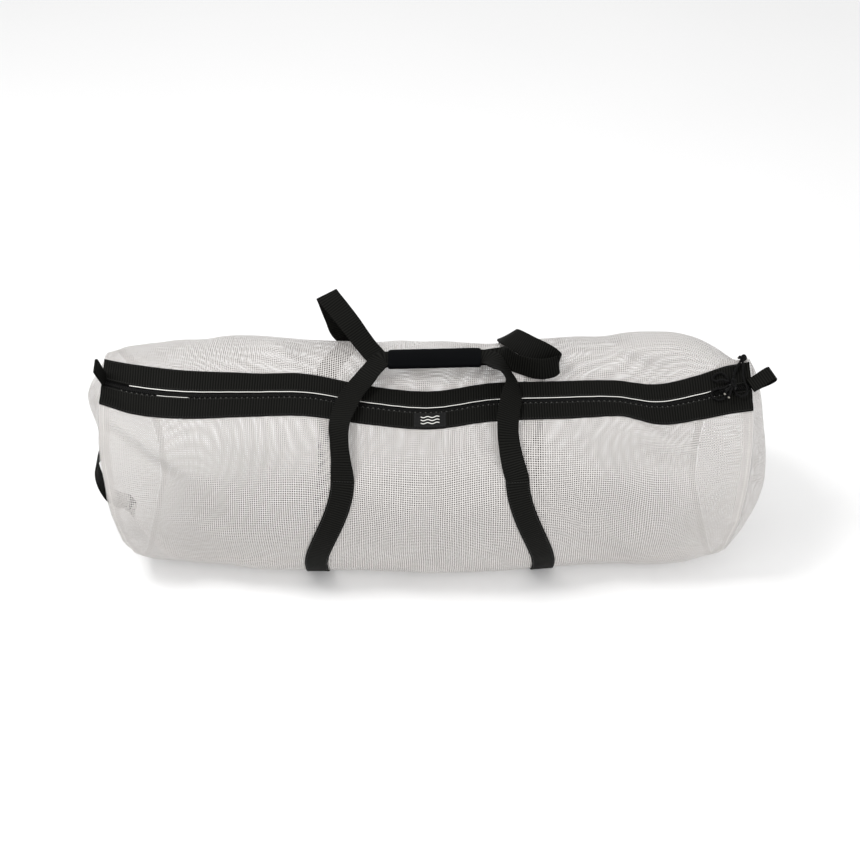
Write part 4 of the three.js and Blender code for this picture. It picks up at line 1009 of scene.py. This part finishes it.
# The patch on the front strip, with a plain stitched edge and plain wavy lines
PATCH_HALF, PATCH_WIDTH, PATCH_WALL, PATCH_HEM = 26.0, 32.0, 0.6, 1.8
PATCH_STITCH = dict(length=1.9, radius=0.25)
WAVE_LENGTH, WAVE_HEIGHT, WAVE_THREAD = 15.0, 1.5, 0.75
patch_base = 2 * FIT_GAP + WEBBING_WALL
patch_top = patch_base + PATCH_WALL + 0.05
patch_x = np.linspace(-PATCH_HALF, PATCH_HALF, 40)
piece("front_patch", [strip_on_cloth(patch_x, STRIP_MIDDLE, PATCH_WIDTH, patch_base, PATCH_WALL)],
      PATCH, ["label_patch"])
edge_x, edge_girth = PATCH_HALF - PATCH_HEM, PATCH_WIDTH / 2 - PATCH_HEM
piece("front_patch_thread", [
    *(stitch_row(np.arange(-23.5, 24, 2.6), STRIP_MIDDLE + side * edge_girth, patch_top, **PATCH_STITCH)
      for side in (-1, 1)),
    *(stitch_row(side * edge_x, np.arange(12.0, 39, 2.6), patch_top, **PATCH_STITCH) for side in (-1, 1)),
], BLACK_THREAD)


def wave_mark(girth):
    """One plain wavy line stitched on the patch: a sine of two waves."""
    x = np.linspace(-WAVE_LENGTH, WAVE_LENGTH, 61)
    line = off_cloth(x, girth + WAVE_HEIGHT * np.sin(2 * np.pi * x / WAVE_LENGTH), patch_top)
    return tube_shell(line, WAVE_THREAD, sides=8)


piece("front_patch_waves", [wave_mark(g) for g in (18.0, 25.0, 32.0)], WHITE_THREAD)

# The slider, and the cords knotted through its bridge
slider_seat = off_cloth(SLIDER_X, 0.0, CHAIN_RISE + FIT_GAP)
slider_up = outward(SLIDER_X, 0.0)
slider_along = cloth(SLIDER_X + SLIDER_LENGTH / 2, 0.0) - cloth(SLIDER_X - SLIDER_LENGTH / 2, 0.0)
slider_along = squared(slider_along, slider_up)
slider_across = np.cross(slider_along, slider_up)


def on_slider(local):
    """Slider coordinates, along, up and across, as places on the bag."""
    return slider_seat + local @ np.array([slider_along, slider_up, slider_across])


def slider_body():
    """Base plate: a rounded rectangle carried along the slider, wider at its shoulders than at its ends."""
    s = np.sin(np.linspace(-np.pi / 2, np.pi / 2, 25))
    wide = (SLIDER_WIDTH / 2) * (0.92 + 0.16 * ease((s + 0.2) / 0.9)) * np.sqrt(np.clip(1.02 - s**8, 0.2, 1))
    turn = full_turn(28)
    up = SLIDER_BASE / 2 + (SLIDER_BASE / 2) * rounded(np.sin(turn), SLIDER_POWER)
    across = wide[:, None] * rounded(np.cos(turn), SLIDER_POWER)[None]
    grid = np.stack(np.broadcast_arrays((s * SLIDER_LENGTH / 2)[:, None], up[None], across), -1)
    return shell(on_slider(grid), around=True, ends="flat")


def slider_bridge():
    """Bridge: a flat bar that rises from the plate, runs over the cords and comes down again."""
    top = SLIDER_BASE + BRIDGE_EYE_HEIGHT + 0.8
    half = np.array([(-BRIDGE_HALF, 2.2, 0), (-BRIDGE_HALF, 5.0, 0), (-BRIDGE_HALF + 0.3, top - 1.4, 0),
                     (-BRIDGE_HALF + 1.8, top, 0)])
    rows = np.concatenate([half, [(0, top + 0.1, 0)], half[::-1] * (-1, 1, 1)])
    line = on_slider(smooth_line(rows, 5))
    bar = flat_profile(width=6.4, wall=1.6, spans=5)
    return strap_shell(line, np.tile(slider_across, (len(line), 1)), bar)


piece("zip_slider_body", [slider_body(), slider_bridge()], ZINC, ["zip_slider"])


def knot_shells(centre, tails, turned):
    """A tight overhand knot: a three-lobed closed knot line in a tube a fifth thicker than the cord, turned
    about the bag's width, and two cut tails."""
    t = np.linspace(0, 2 * np.pi, 121)
    line = np.stack([np.sin(t) + 2 * np.sin(2 * t), np.cos(t) - 2 * np.cos(2 * t), -1.35 * np.sin(3 * t)], -1)
    c, s = math.cos(turned), math.sin(turned)
    line = line @ np.array([(c, 0, -s), (0, 1, 0), (s, 0, c)])
    line = centre + line * (KNOT_RADIUS - CORD_DIAMETER / 2) / KNOT_LINE_REACH
    shells = [tube_shell(line, CORD_DIAMETER / 2 * 1.2, sides=12)]
    for tail in tails:
        way = tail - centre
        rows = np.array([centre + 2.5 * unit(way), centre + 0.55 * way + (0, 0, 1.0), tail])
        shells.append(tube_shell(smooth_line(rows, 8), CORD_DIAMETER / 2 * 0.95, sides=12))
    return shells


def tail_tip(centre, tail):
    """The melted end of a tail: a short bead that narrows to its tip."""
    way = unit(tail - centre)
    s = np.array([-0.6, 0.2, 1.0, 1.6, 1.9])
    thick = np.array([0.97, 1.03, 0.95, 0.6, 0.2])
    return tube_shell(tail + s[:, None] * way, CORD_DIAMETER / 2 * thick)


EYE_HEIGHT = SLIDER_BASE + FIT_GAP + BRIDGE_EYE_HEIGHT / 2 - FIT_GAP / 2
for pull in PULLS:
    knot, tails = np.array(pull["knot"], float), np.array(pull["tails"], float)
    eye = slider_seat + EYE_HEIGHT * slider_up + pull["side"] * slider_along
    knot_name = f"pull_knot_{pull['name']}"
    knotted = piece(f"{knot_name}_tied", knot_shells(knot, tails, 0.7 + pull["side"]), CORD,
                    [knot_name])
    piece(f"{knot_name}_tips", [tail_tip(knot, tail) for tail in tails], MELTED_NYLON)
    for name, out in (("back", -1), ("front", 1)):
        cord_name = f"pull_cord_{pull['name']}_{name}"
        route = np.array(pull[name], float)
        reach = np.linalg.norm(knot - route[-1]) - KNOT_RADIUS - FIT_GAP
        points = np.concatenate([
            [eye + out * FIT_GAP / 2 * slider_across, eye + out * EYE_LEAD * slider_across],
            route, [route[-1] + reach * unit(knot - route[-1])]])
        line = smooth_line(points, 6)
        strand = piece(f"{cord_name}_strand", [tube_shell(line, CORD_DIAMETER / 2, sides=12)], CORD,
                       [cord_name])

# Pale floor and soft studio light, in metres and watts
FLOOR_HALF, FLOOR_LEVEL = 9.0, -0.0006
LIGHT_AIM = (0, 0, 0.15)
floor_mesh = bpy.data.meshes.new("floor")
corners = [(x * FLOOR_HALF, y * FLOOR_HALF, FLOOR_LEVEL) for x, y in ((-1, -1), (1, -1), (1, 1), (-1, 1))]
floor_mesh.from_pydata(corners, [], [(0, 1, 2, 3)])
floor = bpy.data.objects.new("floor", floor_mesh)
bpy.context.scene.collection.objects.link(floor)
floor_mesh.materials.append(PAPER)

world = bpy.data.worlds.new("studio")
bpy.context.scene.world = world
world.use_nodes = True
background = world.node_tree.nodes["Background"].inputs
background["Color"].default_value = (1.0, 1.0, 1.0, 1.0)
background["Strength"].default_value = 0.78


def soft_light(name, place, size, power):
    """A square soft box at a place, turned to the bag."""
    light = bpy.data.objects.new(name, bpy.data.lights.new(name, "AREA"))
    light.data.size = size
    light.data.energy = power
    light.location = place
    way = np.array(LIGHT_AIM) - np.array(place)
    flat = math.hypot(way[0], way[1])
    light.rotation_euler = (math.atan2(flat, -way[2]), 0, math.atan2(way[1], way[0]) - math.pi / 2)
    bpy.context.scene.collection.objects.link(light)


soft_light("key", place=(-1.2, -0.3, 2.6), size=0.9, power=38.0)
soft_light("fill", place=(1.6, -2.4, 1.5), size=2.0, power=36.0)
bpy.context.scene.view_settings.view_transform = "Standard"

bpy.context.view_layer.update()
